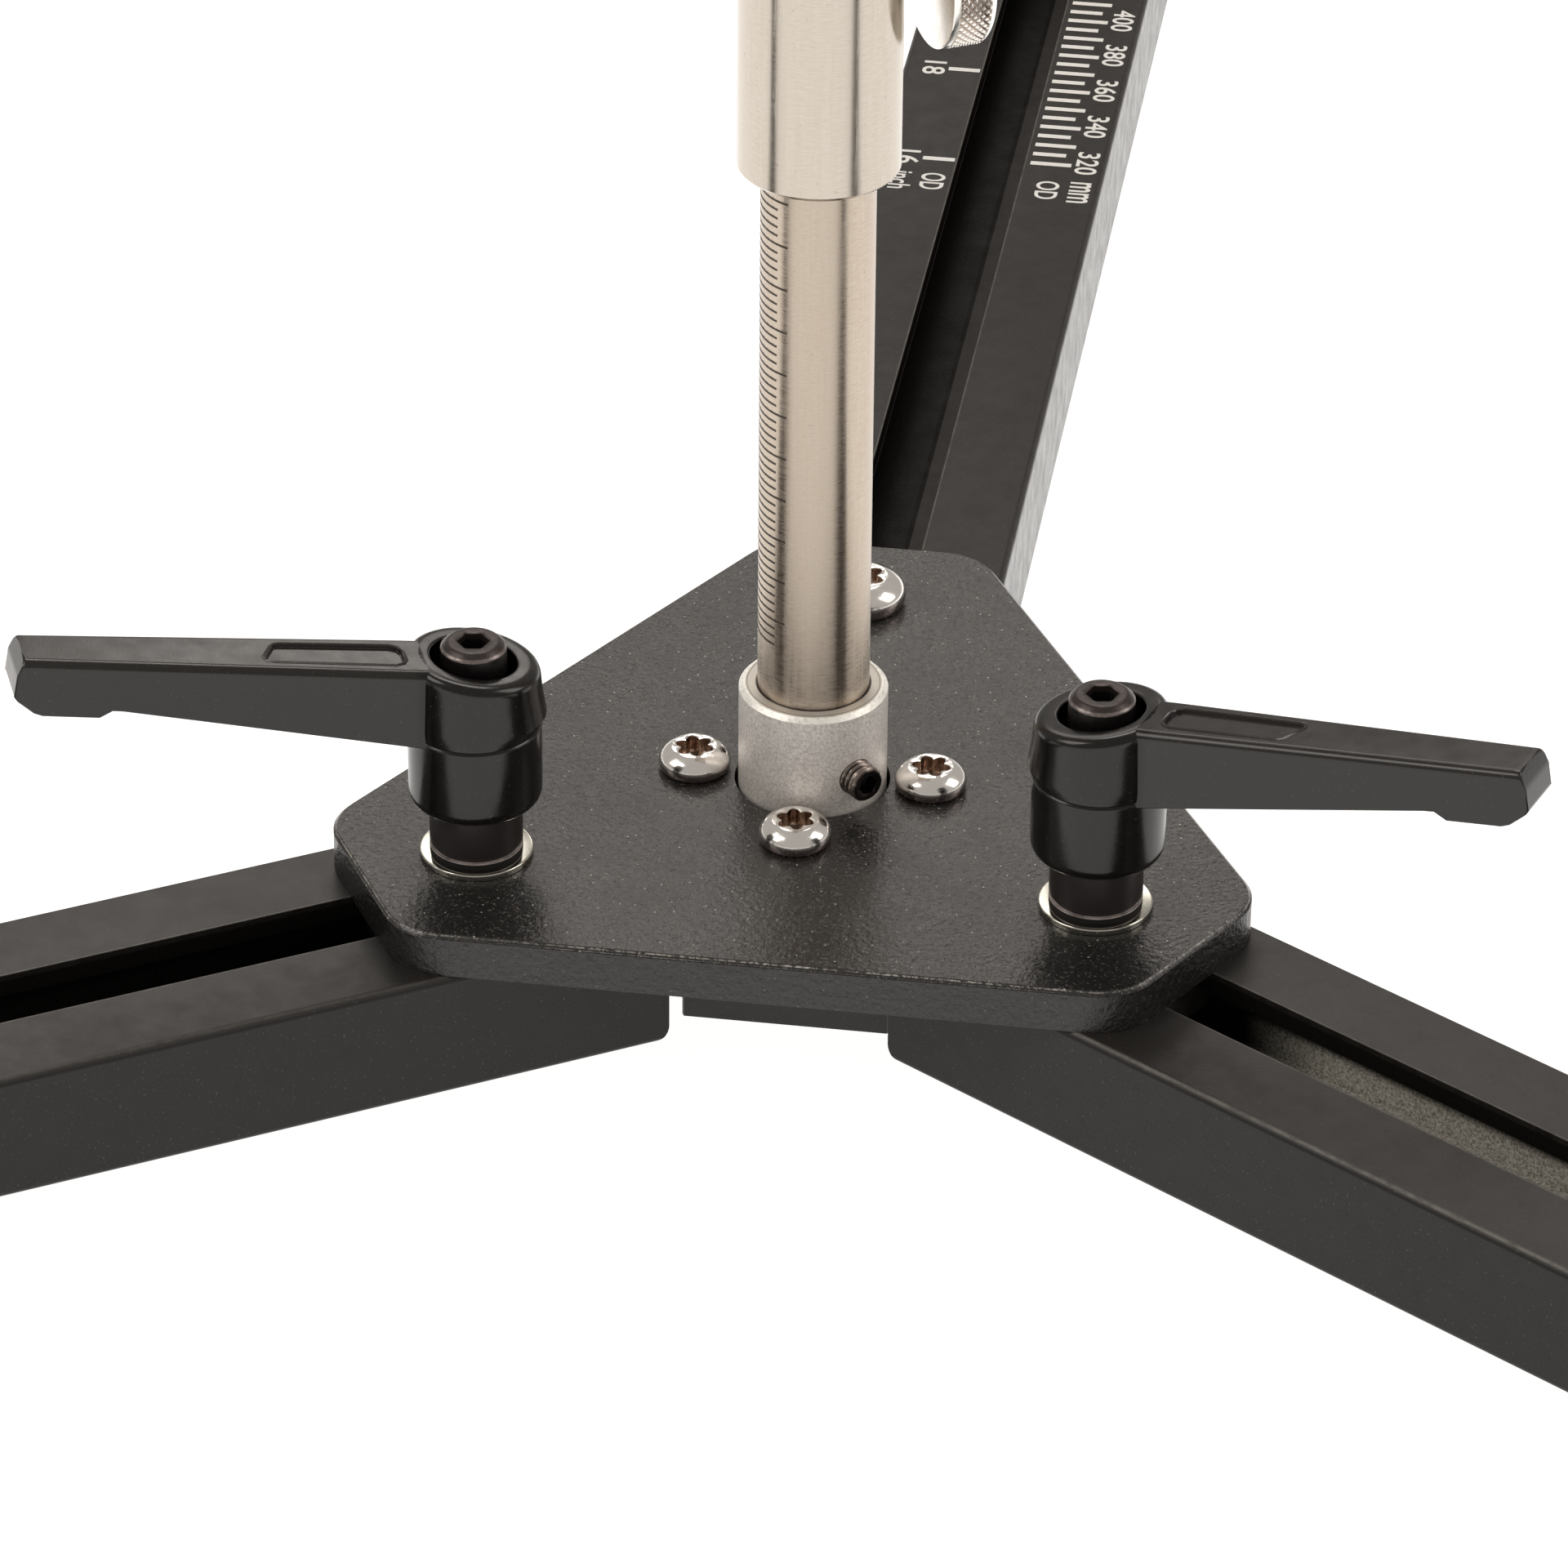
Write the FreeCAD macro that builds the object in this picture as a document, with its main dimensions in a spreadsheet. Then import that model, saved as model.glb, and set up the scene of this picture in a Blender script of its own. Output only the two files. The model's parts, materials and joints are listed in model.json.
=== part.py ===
import FreeCAD, Part

# Three-armed wheel truing stand.
# Frame: X to the right, Y towards the back arm, Z up. The origin lies on the axis of the
# centre post, on the bench surface that the feet stand on. Millimetres and degrees.

import math
import os
from types import SimpleNamespace

import Sketcher
from FreeCAD import Placement, Rotation, Vector

doc = FreeCAD.newDocument("TruingStand")

# ---------------------------------------------------------------- driving dimensions

DIMENSIONS = [
    # general clearances
    ("thread_gap", 0.05, "radial gap between a screw's shank and its tapped hole"),
    ("running_gap", 0.05, "radial gap of a shaft that turns or slides in its bore"),
    ("slot_gap", 0.2, "gap on each side of a nut or tongue in its slot"),
    ("free_gap", 0.3, "gap between round faces that pass each other"),
    # arms
    ("foot_height", 5.0, "height of the rubber feet"),
    ("arm_height", 14.6, "height of the arm extrusion"),
    ("arm_width", 28.7, "width of the arm extrusion"),
    ("arm_reach", 345.0, "distance of the outer arm ends from the post axis"),
    ("arm_tail", 16.1, "length of a front arm behind its pivot"),
    ("arm_edge", 0.8, "rounding of the long outer edges"),
    ("arm_heel", 2.0, "rounding under the inner ends of the front arms"),
    ("slot_width", 8.3, "width of the slot's mouth"),
    ("slot_lip", 2.6, "thickness of the lips beside the slot"),
    ("slot_inner_width", 14.5, "width of the slot under its lips"),
    ("slot_depth", 9.0, "depth of the slot"),
    ("chamber_width", 3.6, "width of the hollow chamber in each side"),
    ("chamber_height", 9.6, "height of the hollow chambers"),
    ("left_arm_azimuth", -147.9, "direction of the left arm"),
    ("right_arm_azimuth", -32.9, "direction of the right arm"),
    ("cap_thick", 2.5, "thickness of the end caps outside the arm"),
    ("cap_peg", 8.0, "length of the end caps' pegs"),
    # centre plate
    ("plate_thick", 5.0, "thickness of the centre plate"),
    ("plate_inradius", 35.85, "distance of the plate's long edges from its own centre"),
    ("plate_cut", 51.1, "distance of the plate's cut corners from its own centre"),
    ("plate_centre_y", -1.25, "position of the plate's own centre on Y"),
    ("plate_corner", 7.0, "rounding of the plate's corners in plan"),
    ("plate_edge", 0.4, "bevel of the plate's top edge"),
    ("pivot_x", 33.0, "distance of the arm pivots from the YZ plane"),
    ("pivot_y", 20.4, "distance of the arm pivots in front of the XZ plane"),
    # hub block and its foot
    ("block_flats", 38.0, "width across the hub block's flats"),
    ("block_side", 18.2, "half width of the hub block between its side reliefs"),
    ("pad_radius", 10.5, "radius of the rubber pad under the hub block"),
    ("pad_spigot", 4.0, "radius of the pad's spigot"),
    ("pad_spigot_height", 3.0, "height of the pad's spigot"),
    # post and its flange
    ("post_radius", 6.0, "radius of the centre post"),
    ("post_length", 190.0, "length of the centre post"),
    ("post_bevel", 0.8, "bevel of the post's ends"),
    ("flange_rim", 1.0, "flange left outside the plate screws' holes"),
    ("flange_thick", 5.0, "thickness of the flange under the plate"),
    ("collar_wall", 1.95, "wall of the collar around the post"),
    ("collar_height", 12.0, "height of the collar above the plate"),
    ("collar_hole_gap", 0.4, "gap around the collar in the plate"),
    ("collar_bevel", 0.5, "bevel of the collar's top edge"),
    ("set_screw_height", 4.1, "height of the set screws above the plate"),
    ("set_screw_stand", 2.2, "height that the set screws stand out of the collar"),
    ("set_screw_azimuth", -46.0, "direction of the first set screw"),
    ("set_screw_socket", 2.0, "width across flats of the set screws' sockets"),
    # screws
    ("small_screw", 2.0, "radius of an M4 thread"),
    ("foot_screw", 2.5, "radius of an M5 thread"),
    ("pivot_screw", 3.0, "radius of an M6 thread"),
    ("plate_screw_gap", 1.1, "gap between the collar and the plate screws' heads"),
    ("plate_screw_head", 3.75, "radius of the plate screws' heads"),
    ("plate_screw_head_height", 2.2, "height of the plate screws' heads"),
    ("plate_screw_length", 16.0, "length of the plate screws under the head"),
    ("head_dome", 0.72, "rounding of the button heads as a share of their height"),
    ("lobe_valley", 0.72, "inner radius of the six-lobed recesses as a share of the outer"),
    ("recess_share", 0.6, "depth of the six-lobed recesses as a share of the head's height"),
    ("socket_share", 0.8, "depth of the foot screws' sockets as a share of the head's height"),
    ("back_screw_y", 37.4, "distance of the back arm's screw from the post axis"),
    ("back_screw_head", 4.75, "radius of the back screw's head"),
    ("back_screw_head_height", 2.7, "height of the back screw's head"),
    ("foot_screw_head", 4.7, "radius of the foot screws' countersunk heads"),
    ("foot_screw_cone", 2.5, "height of the foot screws' countersunk heads"),
    # feet
    ("foot_radius", 10.0, "radius of the feet"),
    ("foot_inset", 13.0, "distance of the feet from the outer arm ends"),
    ("foot_floor", 1.2, "rubber left under the foot screws"),
    # slot nuts
    ("nut_thick", 4.0, "thickness of a slot nut under the lips"),
    ("pivot_nut_length", 20.0, "length of the nuts that carry the front arms"),
    ("back_nut_length", 16.0, "length of the back arm's nut"),
    # sleeve and bush on the post
    ("sleeve_wall", 2.45, "wall of the height sleeve around the post"),
    ("sleeve_length", 50.0, "length of the height sleeve"),
    ("sleeve_bottom", 74.1, "height of the sleeve's lower end above the plate"),
    ("sleeve_bevel", 0.5, "bevel of the sleeve's ends"),
    ("sleeve_screw_height", 20.0, "height of the thumb screw above the sleeve's lower end"),
    ("sleeve_screw_azimuth", 28.5, "direction of the sleeve's thumb screw"),
    ("sleeve_knob_radius", 7.9, "radius of the sleeve's knurled knob"),
    ("sleeve_knob_gap", 3.0, "gap between the sleeve and its knurled knob"),
    ("sleeve_knob_thick", 4.9, "thickness of the sleeve's knurled knob"),
    ("knob_edge", 0.8, "rounding of the knobs' outer edges"),
    ("tip_gap", 0.15, "gap between a slackened thumb screw's tip and its shaft"),
    ("bush_flange_wall", 5.95, "wall of the hub bush at its flange"),
    ("bush_flange_thick", 3.0, "thickness of the hub bush's flange"),
    ("bush_low_wall", 3.95, "wall of the hub bush at its lower step"),
    ("bush_high_wall", 1.45, "wall of the hub bush at its upper step"),
    ("bush_step", 10.0, "height of the lower step"),
    ("bush_top_step", 12.0, "height of the upper step"),
    ("bush_bevel", 1.0, "bevel at the top of the hub bush"),
    # clamping levers
    ("washer_radius", 6.05, "radius of the washers under the levers"),
    ("washer_thick", 0.75, "thickness of the washers under the levers"),
    ("stem_radius", 4.95, "radius of the lever's steel insert"),
    ("stem_groove", 4.6, "radius of the groove above the insert's foot"),
    ("stem_foot_top", 1.45, "height of the groove's lower edge above the plate"),
    ("stem_groove_top", 1.7, "height of the groove's upper edge above the plate"),
    ("stem_top", 12.5, "height of the insert's top above the plate"),
    ("stud_depth", 13.0, "depth of the stud's end under the plate's top"),
    ("handle_bottom", 7.0, "height of the lever hub's lower edge above the plate"),
    ("handle_seam", 16.6, "height of the lever hub's seam above the plate"),
    ("handle_waist", 20.5, "height of the lever hub's widest point above the plate"),
    ("handle_top", 24.4, "height of the lever hub's top above the plate"),
    ("skirt_radius", 7.0, "radius of the lever hub under its seam"),
    ("hub_seam_radius", 7.15, "radius of the lever hub just above its seam"),
    ("hub_waist_radius", 7.45, "largest radius of the lever hub"),
    ("hub_top_radius", 7.1, "radius of the lever hub at its top"),
    ("skirt_round", 1.7, "rounding of the lever hub's lower edge"),
    ("handle_web", 2.0, "thickness of the web over the insert"),
    ("recess_radius", 4.575, "radius of the recess in the lever hub's top"),
    ("handle_length", 47.4, "length of the handle's top face from the pivot axis"),
    ("handle_rise", 0.16, "slope of the handle's top face"),
    ("handle_under_start", 14.4, "height of the handle's underside at the pivot axis"),
    ("handle_under_rise", 0.272, "slope of the handle's underside"),
    ("handle_half_width", 3.84, "half width of the handle at its hub"),
    ("handle_tip_half_width", 3.13, "half width of the handle at its tip"),
    ("handle_tip_lean", 1.3, "reach of the handle's end below its top edge"),
    ("handle_tip_thick", 4.7, "thickness of the handle at its tip"),
    ("hook_start", 9.9, "distance from the tip to the start of the underside's hook"),
    ("hook_low", 7.4, "distance from the tip to the hook's inner edge"),
    ("hook_drop", 1.1, "drop of the underside at the hook's inner edge"),
    ("hook_end", 1.6, "distance from the tip to the hook's outer edge"),
    ("hook_lip", 1.5, "drop of the hook's outer edge below the handle's end"),
    ("handle_bevel", 0.6, "bevel along the handle's top edges"),
    ("left_handle_azimuth", -157.6, "direction of the left handle"),
    ("right_handle_azimuth", -18.8, "direction of the right handle"),
    ("cap_screw_head", 3.5, "radius of the lever screw's head"),
    ("cap_screw_head_height", 4.0, "height of the lever screw's head"),
    ("cap_screw_top", 26.1, "height of the lever screw's top above the plate"),
    ("cap_screw_socket", 3.0, "width across flats of the lever screw's socket"),
    ("cap_screw_end", 5.0, "height of the lever screw's end above the plate"),
    ("spring_radius", 3.1, "mean radius of the lever's spring"),
    ("spring_wire", 0.35, "radius of the lever spring's wire"),
    ("spring_turns", 3.5, "turns of the lever's spring"),
    # rim supports
    ("rim_diameter", 571.0, "outer diameter of the rim that the supports are set to"),
    ("rim_offset", 5.5, "distance of a support's inner end inside its rim stop"),
    ("support_length", 31.0, "length of a support's base along the arm"),
    ("support_width", 26.0, "width of a support's base"),
    ("support_height", 12.0, "height of a support's base"),
    ("tower_length", 14.0, "length of the tower on a support's base"),
    ("tower_width", 20.0, "width of the tower on a support's base"),
    ("tower_height", 30.0, "height of the tower above the arm"),
    ("support_edge", 1.5, "rounding of the support's upright edges"),
    ("clamp_x", 24.0, "distance of the clamp screw from the support's inner end"),
    ("support_nut_length", 12.0, "length of a support's slot nut"),
    ("clamp_knob_radius", 8.0, "radius of the clamp screw's knob"),
    ("clamp_knob_thick", 7.0, "thickness of the clamp screw's knob"),
    ("clamp_neck_radius", 5.5, "radius of the neck under the clamp screw's knob"),
    ("clamp_neck_height", 1.0, "height of the neck under the clamp screw's knob"),
    ("clamp_screw_depth", 8.0, "depth of the clamp screw's end under the arm's top"),
    ("rod_radius", 5.0, "radius of a support's rod"),
    ("rod_x", 7.0, "distance of the rod from the support's inner end"),
    ("rod_bottom", 4.0, "height of the rod's lower end above the arm"),
    ("rod_socket_floor", 1.0, "material left under the rod's bore"),
    ("rod_socket", 8.0, "depth that the rod enters the jaw"),
    ("lock_screw_height", 22.0, "height of the lock screw above the arm"),
    ("lock_knob_radius", 6.0, "radius of the lock screw's knob"),
    ("lock_knob_thick", 5.0, "thickness of the lock screw's knob"),
    ("lock_knob_gap", 0.5, "gap between the tower and the lock screw's knob"),
    ("seat_height", 105.0, "height of the rim seat above the arm"),
    ("jaw_bottom", 92.0, "height of the jaw's lower end above the arm"),
    ("jaw_width", 22.0, "width of the jaw"),
    ("jaw_nose", 6.0, "reach of the rim seat beyond the base's inner end"),
    ("jaw_nose_thick", 4.0, "thickness of the rim seat at its nose"),
    ("jaw_stop_height", 8.0, "height of the rim stop above the seat"),
]

sheet = doc.addObject("Spreadsheet::Sheet", "Sizes")
for row, (alias, value, note) in enumerate(DIMENSIONS, start=1):
    sheet.set(f"A{row}", note)
    sheet.set(f"B{row}", str(value))
    sheet.setAlias(f"B{row}", alias)
doc.recompute()


class Size:
    """A number and the sheet expression that gives it."""

    def __init__(self, value, text):
        self.value = value
        self.text = text

    def __add__(self, other):
        other = sized(other)
        return Size(self.value + other.value, f"({self.text} + {other.text})")

    def __sub__(self, other):
        other = sized(other)
        return Size(self.value - other.value, f"({self.text} - {other.text})")

    def __mul__(self, other):
        other = sized(other)
        return Size(self.value * other.value, f"({self.text} * {other.text})")

    def __truediv__(self, other):
        other = sized(other)
        return Size(self.value / other.value, f"({self.text} / {other.text})")

    def __radd__(self, other):
        return sized(other) + self

    def __rsub__(self, other):
        return sized(other) - self

    def __rmul__(self, other):
        return sized(other) * self

    def __neg__(self):
        return sized(0.0) - self


def sized(number):
    """Any number as a Size."""
    if isinstance(number, Size):
        return number
    return Size(float(number), f"({float(number):.9f})")


def cosine(angle):
    return Size(math.cos(math.radians(angle.value)), f"cos({angle.text})")


def sine(angle):
    return Size(math.sin(math.radians(angle.value)), f"sin({angle.text})")


def hypotenuse(one, other):
    square = one * one + other * other
    return Size(math.sqrt(square.value), f"sqrt({square.text})")


D = SimpleNamespace(**{alias: Size(value, f"Sizes.{alias}") for alias, value, _ in DIMENSIONS})


def bind(thing, path, size):
    """Drive one property of a document object from the sheet."""
    thing.setExpression(path, sized(size).text)


# ---------------------------------------------------------------- sizes that follow

arm_top = D.foot_height + D.arm_height
plate_top = arm_top + D.plate_thick
flange_bottom = arm_top - D.flange_thick
slot_floor = D.arm_height - D.slot_depth
lip_underside = D.arm_height - D.slot_lip
chamber_wall = (D.arm_width - D.slot_inner_width - D.chamber_width * 2) / 4
chamber_floor = (D.arm_height - D.chamber_height) / 2
pivot_distance = hypotenuse(D.pivot_x, D.pivot_y)
arm_end_sweep = hypotenuse(D.arm_tail, D.arm_width / 2)
head_underside = D.cap_screw_top - D.cap_screw_head_height
spring_seat = D.stem_top + D.handle_web
pointer_distance = D.rim_diameter / 2 - D.rim_offset
sleeve_top = plate_top + D.sleeve_bottom + D.sleeve_length

post_bore = D.post_radius + D.running_gap
collar_radius = post_bore + D.collar_wall
screw_clearance = D.small_screw + D.free_gap / 2
plate_screw_circle = collar_radius + D.plate_screw_gap + D.plate_screw_head
flange_radius = plate_screw_circle + screw_clearance + D.flange_rim
sleeve_radius = post_bore + D.sleeve_wall
set_screw_reach = collar_radius + D.set_screw_stand

SIN60 = math.sin(math.radians(60))
ZERO = sized(0.0)

# Where each arm's own frame lies: its origin, its direction and its distance from the post axis.
ARMS = {
    "back": SimpleNamespace(
        x=ZERO, y=ZERO, azimuth=sized(90.0), start=D.block_flats / 2, distance=ZERO, lock_side=1
    ),
    "left": SimpleNamespace(
        x=-D.pivot_x,
        y=-D.pivot_y,
        azimuth=D.left_arm_azimuth,
        start=-D.arm_tail,
        distance=pivot_distance,
        lock_side=1,
    ),
    "right": SimpleNamespace(
        x=D.pivot_x,
        y=-D.pivot_y,
        azimuth=D.right_arm_azimuth,
        start=-D.arm_tail,
        distance=pivot_distance,
        lock_side=-1,
    ),
}
HANDLE_AZIMUTH = {"left": D.left_handle_azimuth, "right": D.right_handle_azimuth}

# ---------------------------------------------------------------- building blocks

nodes = []


def new_body(label, x=ZERO, y=ZERO, z=ZERO, azimuth=None):
    """A sub-part whose own frame lies at x, y, z and is turned about Z by the azimuth."""
    body = doc.addObject("PartDesign::Body", label)
    body.Label = label
    turn = sized(azimuth).value if azimuth is not None else 0.0
    body.Placement = Placement(Vector(), Rotation(Vector(0, 0, 1), turn))
    for axis, size in zip("xyz", (x, y, z)):
        bind(body, f"Placement.Base.{axis}", size)
    if azimuth is not None:
        bind(body, "Placement.Rotation.Angle", azimuth)
    nodes.append(body)
    return body


def new_sketch(body, name, role="XY_Plane", lift=None, along=None, turn=None):
    """A sketch on a plane of the body's origin, lifted off it, moved along it or turned."""
    plane = next(item for item in body.Origin.OriginFeatures if item.Role == role)
    sketch = body.newObject("Sketcher::SketchObject", f"{body.Name}_{name}")
    sketch.AttachmentSupport = [(plane, "")]
    sketch.MapMode = "FlatFace"
    if turn is not None:
        sketch.AttachmentOffset = Placement(Vector(), Rotation(Vector(0, 1, 0), turn.value))
        bind(sketch, "AttachmentOffset.Rotation.Angle", turn)
    if lift is not None:
        bind(sketch, "AttachmentOffset.Base.z", lift)
    if along is not None:
        bind(sketch, "AttachmentOffset.Base.x", along)
    return sketch


def hold_point(sketch, geometry, corner, x, y):
    """Dimension one point of a sketch from the sketch's origin."""
    for kind, size in (("DistanceX", x), ("DistanceY", y)):
        index = sketch.addConstraint(
            Sketcher.Constraint(kind, -1, 1, geometry, corner, sized(size).value)
        )
        bind(sketch, f"Constraints[{index}]", size)


def draw_polygon(sketch, points):
    """A closed outline through the points."""
    vectors = [Vector(sized(x).value, sized(y).value, 0) for x, y in points]
    first = len(sketch.Geometry)
    count = len(points)
    for index in range(count):
        sketch.addGeometry(Part.LineSegment(vectors[index], vectors[(index + 1) % count]), False)
    for index in range(count):
        follower = first + (index + 1) % count
        sketch.addConstraint(Sketcher.Constraint("Coincident", first + index, 2, follower, 1))
    for index, (x, y) in enumerate(points):
        hold_point(sketch, first + index, 1, x, y)


def draw_polyline(sketch, points):
    """An open line through the points."""
    vectors = [Vector(sized(x).value, sized(y).value, 0) for x, y in points]
    for index, (start, end) in enumerate(zip(vectors, vectors[1:])):
        line = sketch.addGeometry(Part.LineSegment(start, end), False)
        if index:
            sketch.addConstraint(Sketcher.Constraint("Coincident", line - 1, 2, line, 1))
        hold_point(sketch, line, 1, *points[index])
    hold_point(sketch, line, 2, *points[-1])


def draw_box(sketch, x_low, x_high, y_low, y_high):
    draw_polygon(sketch, [(x_low, y_low), (x_high, y_low), (x_high, y_high), (x_low, y_high)])


def draw_circle(sketch, x, y, radius):
    centre = Vector(sized(x).value, sized(y).value, 0)
    normal = Vector(0, 0, 1)
    geometry = sketch.addGeometry(Part.Circle(centre, normal, sized(radius).value), False)
    hold_point(sketch, geometry, 3, x, y)
    index = sketch.addConstraint(Sketcher.Constraint("Radius", geometry, sized(radius).value))
    bind(sketch, f"Constraints[{index}]", radius)


def draw_round_corner(sketch, x, radius):
    """The waste outside a quarter circle that rounds the corner at x, zero."""
    draw_polyline(
        sketch,
        [
            (x + radius, ZERO),
            (x + radius, -radius),
            (x - radius, -radius),
            (x - radius, radius),
            (x, radius),
        ],
    )
    centre = Vector((x + radius).value, radius.value, 0)
    circle = Part.Circle(centre, Vector(0, 0, 1), radius.value)
    arc = sketch.addGeometry(Part.ArcOfCircle(circle, math.pi, math.pi * 3 / 2), False)
    sketch.addConstraint(Sketcher.Constraint("Coincident", arc, 1, arc - 1, 2))
    sketch.addConstraint(Sketcher.Constraint("Coincident", arc, 2, 0, 1))
    index = sketch.addConstraint(Sketcher.Constraint("Radius", arc, radius.value))
    bind(sketch, f"Constraints[{index}]", radius)


def polar(azimuth, along, across):
    """A point given along and across a direction."""
    cos_a = math.cos(math.radians(azimuth))
    sin_a = math.sin(math.radians(azimuth))
    return (along * cos_a - across * sin_a, along * sin_a + across * cos_a)


def polygon_corners(sides, radius, inner_radius=None, start=0.0):
    """Corners of a regular polygon, or of a star when an inner radius is given."""
    corners = []
    for index in range(sides):
        azimuth = start + 360.0 * index / sides
        corners.append(polar(azimuth, radius, ZERO))
        if inner_radius is not None:
            corners.append(polar(azimuth + 180.0 / sides, inner_radius, ZERO))
    return corners


def pad(body, sketch, length, symmetric=False, backwards=False):
    feature = body.newObject("PartDesign::Pad", f"{sketch.Name}_pad")
    feature.Profile = sketch
    bind(feature, "Length", length)
    feature.Midplane = symmetric
    feature.Reversed = backwards
    finish(body, feature)
    return feature


def pocket(body, sketch, depth=None, backwards=False, symmetric=False):
    """Cut against the sketch's normal, along it or both ways, to a depth or right through."""
    before = body.Shape.Volume
    feature = body.newObject("PartDesign::Pocket", f"{sketch.Name}_cut")
    feature.Profile = sketch
    feature.Reversed = backwards
    feature.Midplane = symmetric
    if depth is None:
        feature.Type = "ThroughAll"
    else:
        bind(feature, "Length", depth)
    finish(body, feature)
    if body.Shape.Volume >= before:
        raise RuntimeError(f"{feature.Name} cuts nothing")
    return feature


def revolve(body, sketch, axis="V_Axis"):
    feature = body.newObject("PartDesign::Revolution", f"{sketch.Name}_turned")
    feature.Profile = sketch
    feature.ReferenceAxis = (sketch, [axis])
    feature.Angle = 360.0
    finish(body, feature)
    return feature


def groove(body, sketch, axis="V_Axis"):
    before = body.Shape.Volume
    feature = body.newObject("PartDesign::Groove", f"{sketch.Name}_turned")
    feature.Profile = sketch
    feature.ReferenceAxis = (sketch, [axis])
    feature.Angle = 360.0
    finish(body, feature)
    if body.Shape.Volume >= before:
        raise RuntimeError(f"{feature.Name} cuts nothing")
    return feature


def soften(body, kind, size, wanted):
    """Round ("Fillet") or bevel ("Chamfer") the edges that a test picks."""
    base = body.Tip
    names = [f"Edge{n}" for n, edge in enumerate(base.Shape.Edges, start=1) if wanted(edge)]
    if not names:
        raise RuntimeError(f"no edge found on {body.Name}")
    feature = body.newObject(f"PartDesign::{kind}", f"{body.Name}_{kind}")
    feature.Base = (base, names)
    bind(feature, "Radius" if kind == "Fillet" else "Size", size)
    finish(body, feature)
    return feature


def finish(body, feature):
    body.Tip = feature
    doc.recompute()
    if {"Invalid", "Error"} & set(feature.State):
        raise RuntimeError(f"{feature.Name} failed")


def turned(body, points, axis="V_Axis"):
    """A solid of revolution from a half section in the XZ plane."""
    sketch = new_sketch(body, "section", "XZ_Plane")
    draw_polygon(sketch, points)
    return revolve(body, sketch, axis)


def near(one, other):
    return abs(one - other) < 1e-4


def is_circle(edge, radius, height=None):
    """Whether an edge is a full circle about a vertical axis, of this radius and height."""
    curve = edge.Curve
    if not isinstance(curve, Part.Circle) or not near(curve.Radius, radius.value):
        return False
    return height is None or near(curve.Center.z, height.value)


def is_upright(edge):
    """Whether an edge is a straight vertical line."""
    first, last = edge.Vertexes[0].Point, edge.Vertexes[-1].Point
    return len(edge.Vertexes) == 2 and near(first.x, last.x) and near(first.y, last.y)


def lies_at_height(edge, height):
    return all(near(vertex.Z, height.value) for vertex in edge.Vertexes)


# ---------------------------------------------------------------- centre plate and hub block


def make_center_plate():
    body = new_body("center_plate", z=arm_top)
    outline = new_sketch(body, "outline")
    half_cut = (D.plate_inradius - D.plate_cut / 2) / SIN60
    corners = []
    for azimuth in (90, 210, 330):
        for across in (-half_cut, half_cut):
            x, y = polar(azimuth, D.plate_cut, across)
            corners.append((x, y + D.plate_centre_y))
    draw_polygon(outline, corners)
    pad(body, outline, D.plate_thick)
    soften(body, "Fillet", D.plate_corner, is_upright)
    soften(body, "Chamfer", D.plate_edge, lambda edge: lies_at_height(edge, D.plate_thick))
    holes = new_sketch(body, "holes", lift=D.plate_thick)
    draw_circle(holes, ZERO, ZERO, collar_radius + D.collar_hole_gap)
    for azimuth in range(0, 360, 90):
        x, y = polar(azimuth, plate_screw_circle, ZERO)
        draw_circle(holes, x, y, screw_clearance)
    for side in (-1, 1):
        draw_circle(holes, side * D.pivot_x, -D.pivot_y, D.pivot_screw + D.slot_gap)
    draw_circle(holes, ZERO, D.back_screw_y, D.foot_screw + D.free_gap / 2)
    pocket(body, holes)


def make_hub_block():
    """Hexagonal block under the plate, cut back where the front arms swing."""
    body = new_body("hub_block", z=D.foot_height)
    outline = new_sketch(body, "outline")
    flat = D.block_flats / 2
    corner_x = flat * math.tan(math.radians(30))
    relief_y = (flat - D.block_side * SIN60) * 2
    quarter = [(corner_x, -flat), (D.block_side, -relief_y), (D.block_side, relief_y), (corner_x, flat)]
    draw_polygon(outline, quarter + [(-x, y) for x, y in reversed(quarter)])
    pad(body, outline, D.arm_height)
    sweeps = new_sketch(body, "sweeps", lift=D.arm_height)
    for side in (-1, 1):
        draw_circle(sweeps, side * D.pivot_x, -D.pivot_y, arm_end_sweep + D.free_gap)
    pocket(body, sweeps)
    recess = new_sketch(body, "recess", lift=D.arm_height)
    draw_circle(recess, ZERO, ZERO, flange_radius + D.running_gap)
    pocket(body, recess, D.flange_thick)
    holes = new_sketch(body, "holes", lift=D.arm_height)
    for azimuth in range(0, 360, 90):
        x, y = polar(azimuth, plate_screw_circle, ZERO)
        draw_circle(holes, x, y, D.small_screw + D.thread_gap)
    pocket(body, holes, D.plate_screw_length - D.plate_thick + D.pad_spigot_height / 2)
    socket = new_sketch(body, "socket")
    draw_circle(socket, ZERO, ZERO, D.pad_spigot + D.thread_gap)
    pocket(body, socket, D.pad_spigot_height + D.free_gap, backwards=True)


def make_hub_foot_pad():
    body = new_body("hub_foot_pad")
    bevel = D.pad_radius - D.arm_edge
    turned(
        body,
        [
            (ZERO, ZERO),
            (bevel, ZERO),
            (D.pad_radius, D.arm_edge),
            (D.pad_radius, D.foot_height),
            (D.pad_spigot, D.foot_height),
            (D.pad_spigot, D.foot_height + D.pad_spigot_height),
            (ZERO, D.foot_height + D.pad_spigot_height),
        ],
    )


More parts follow.
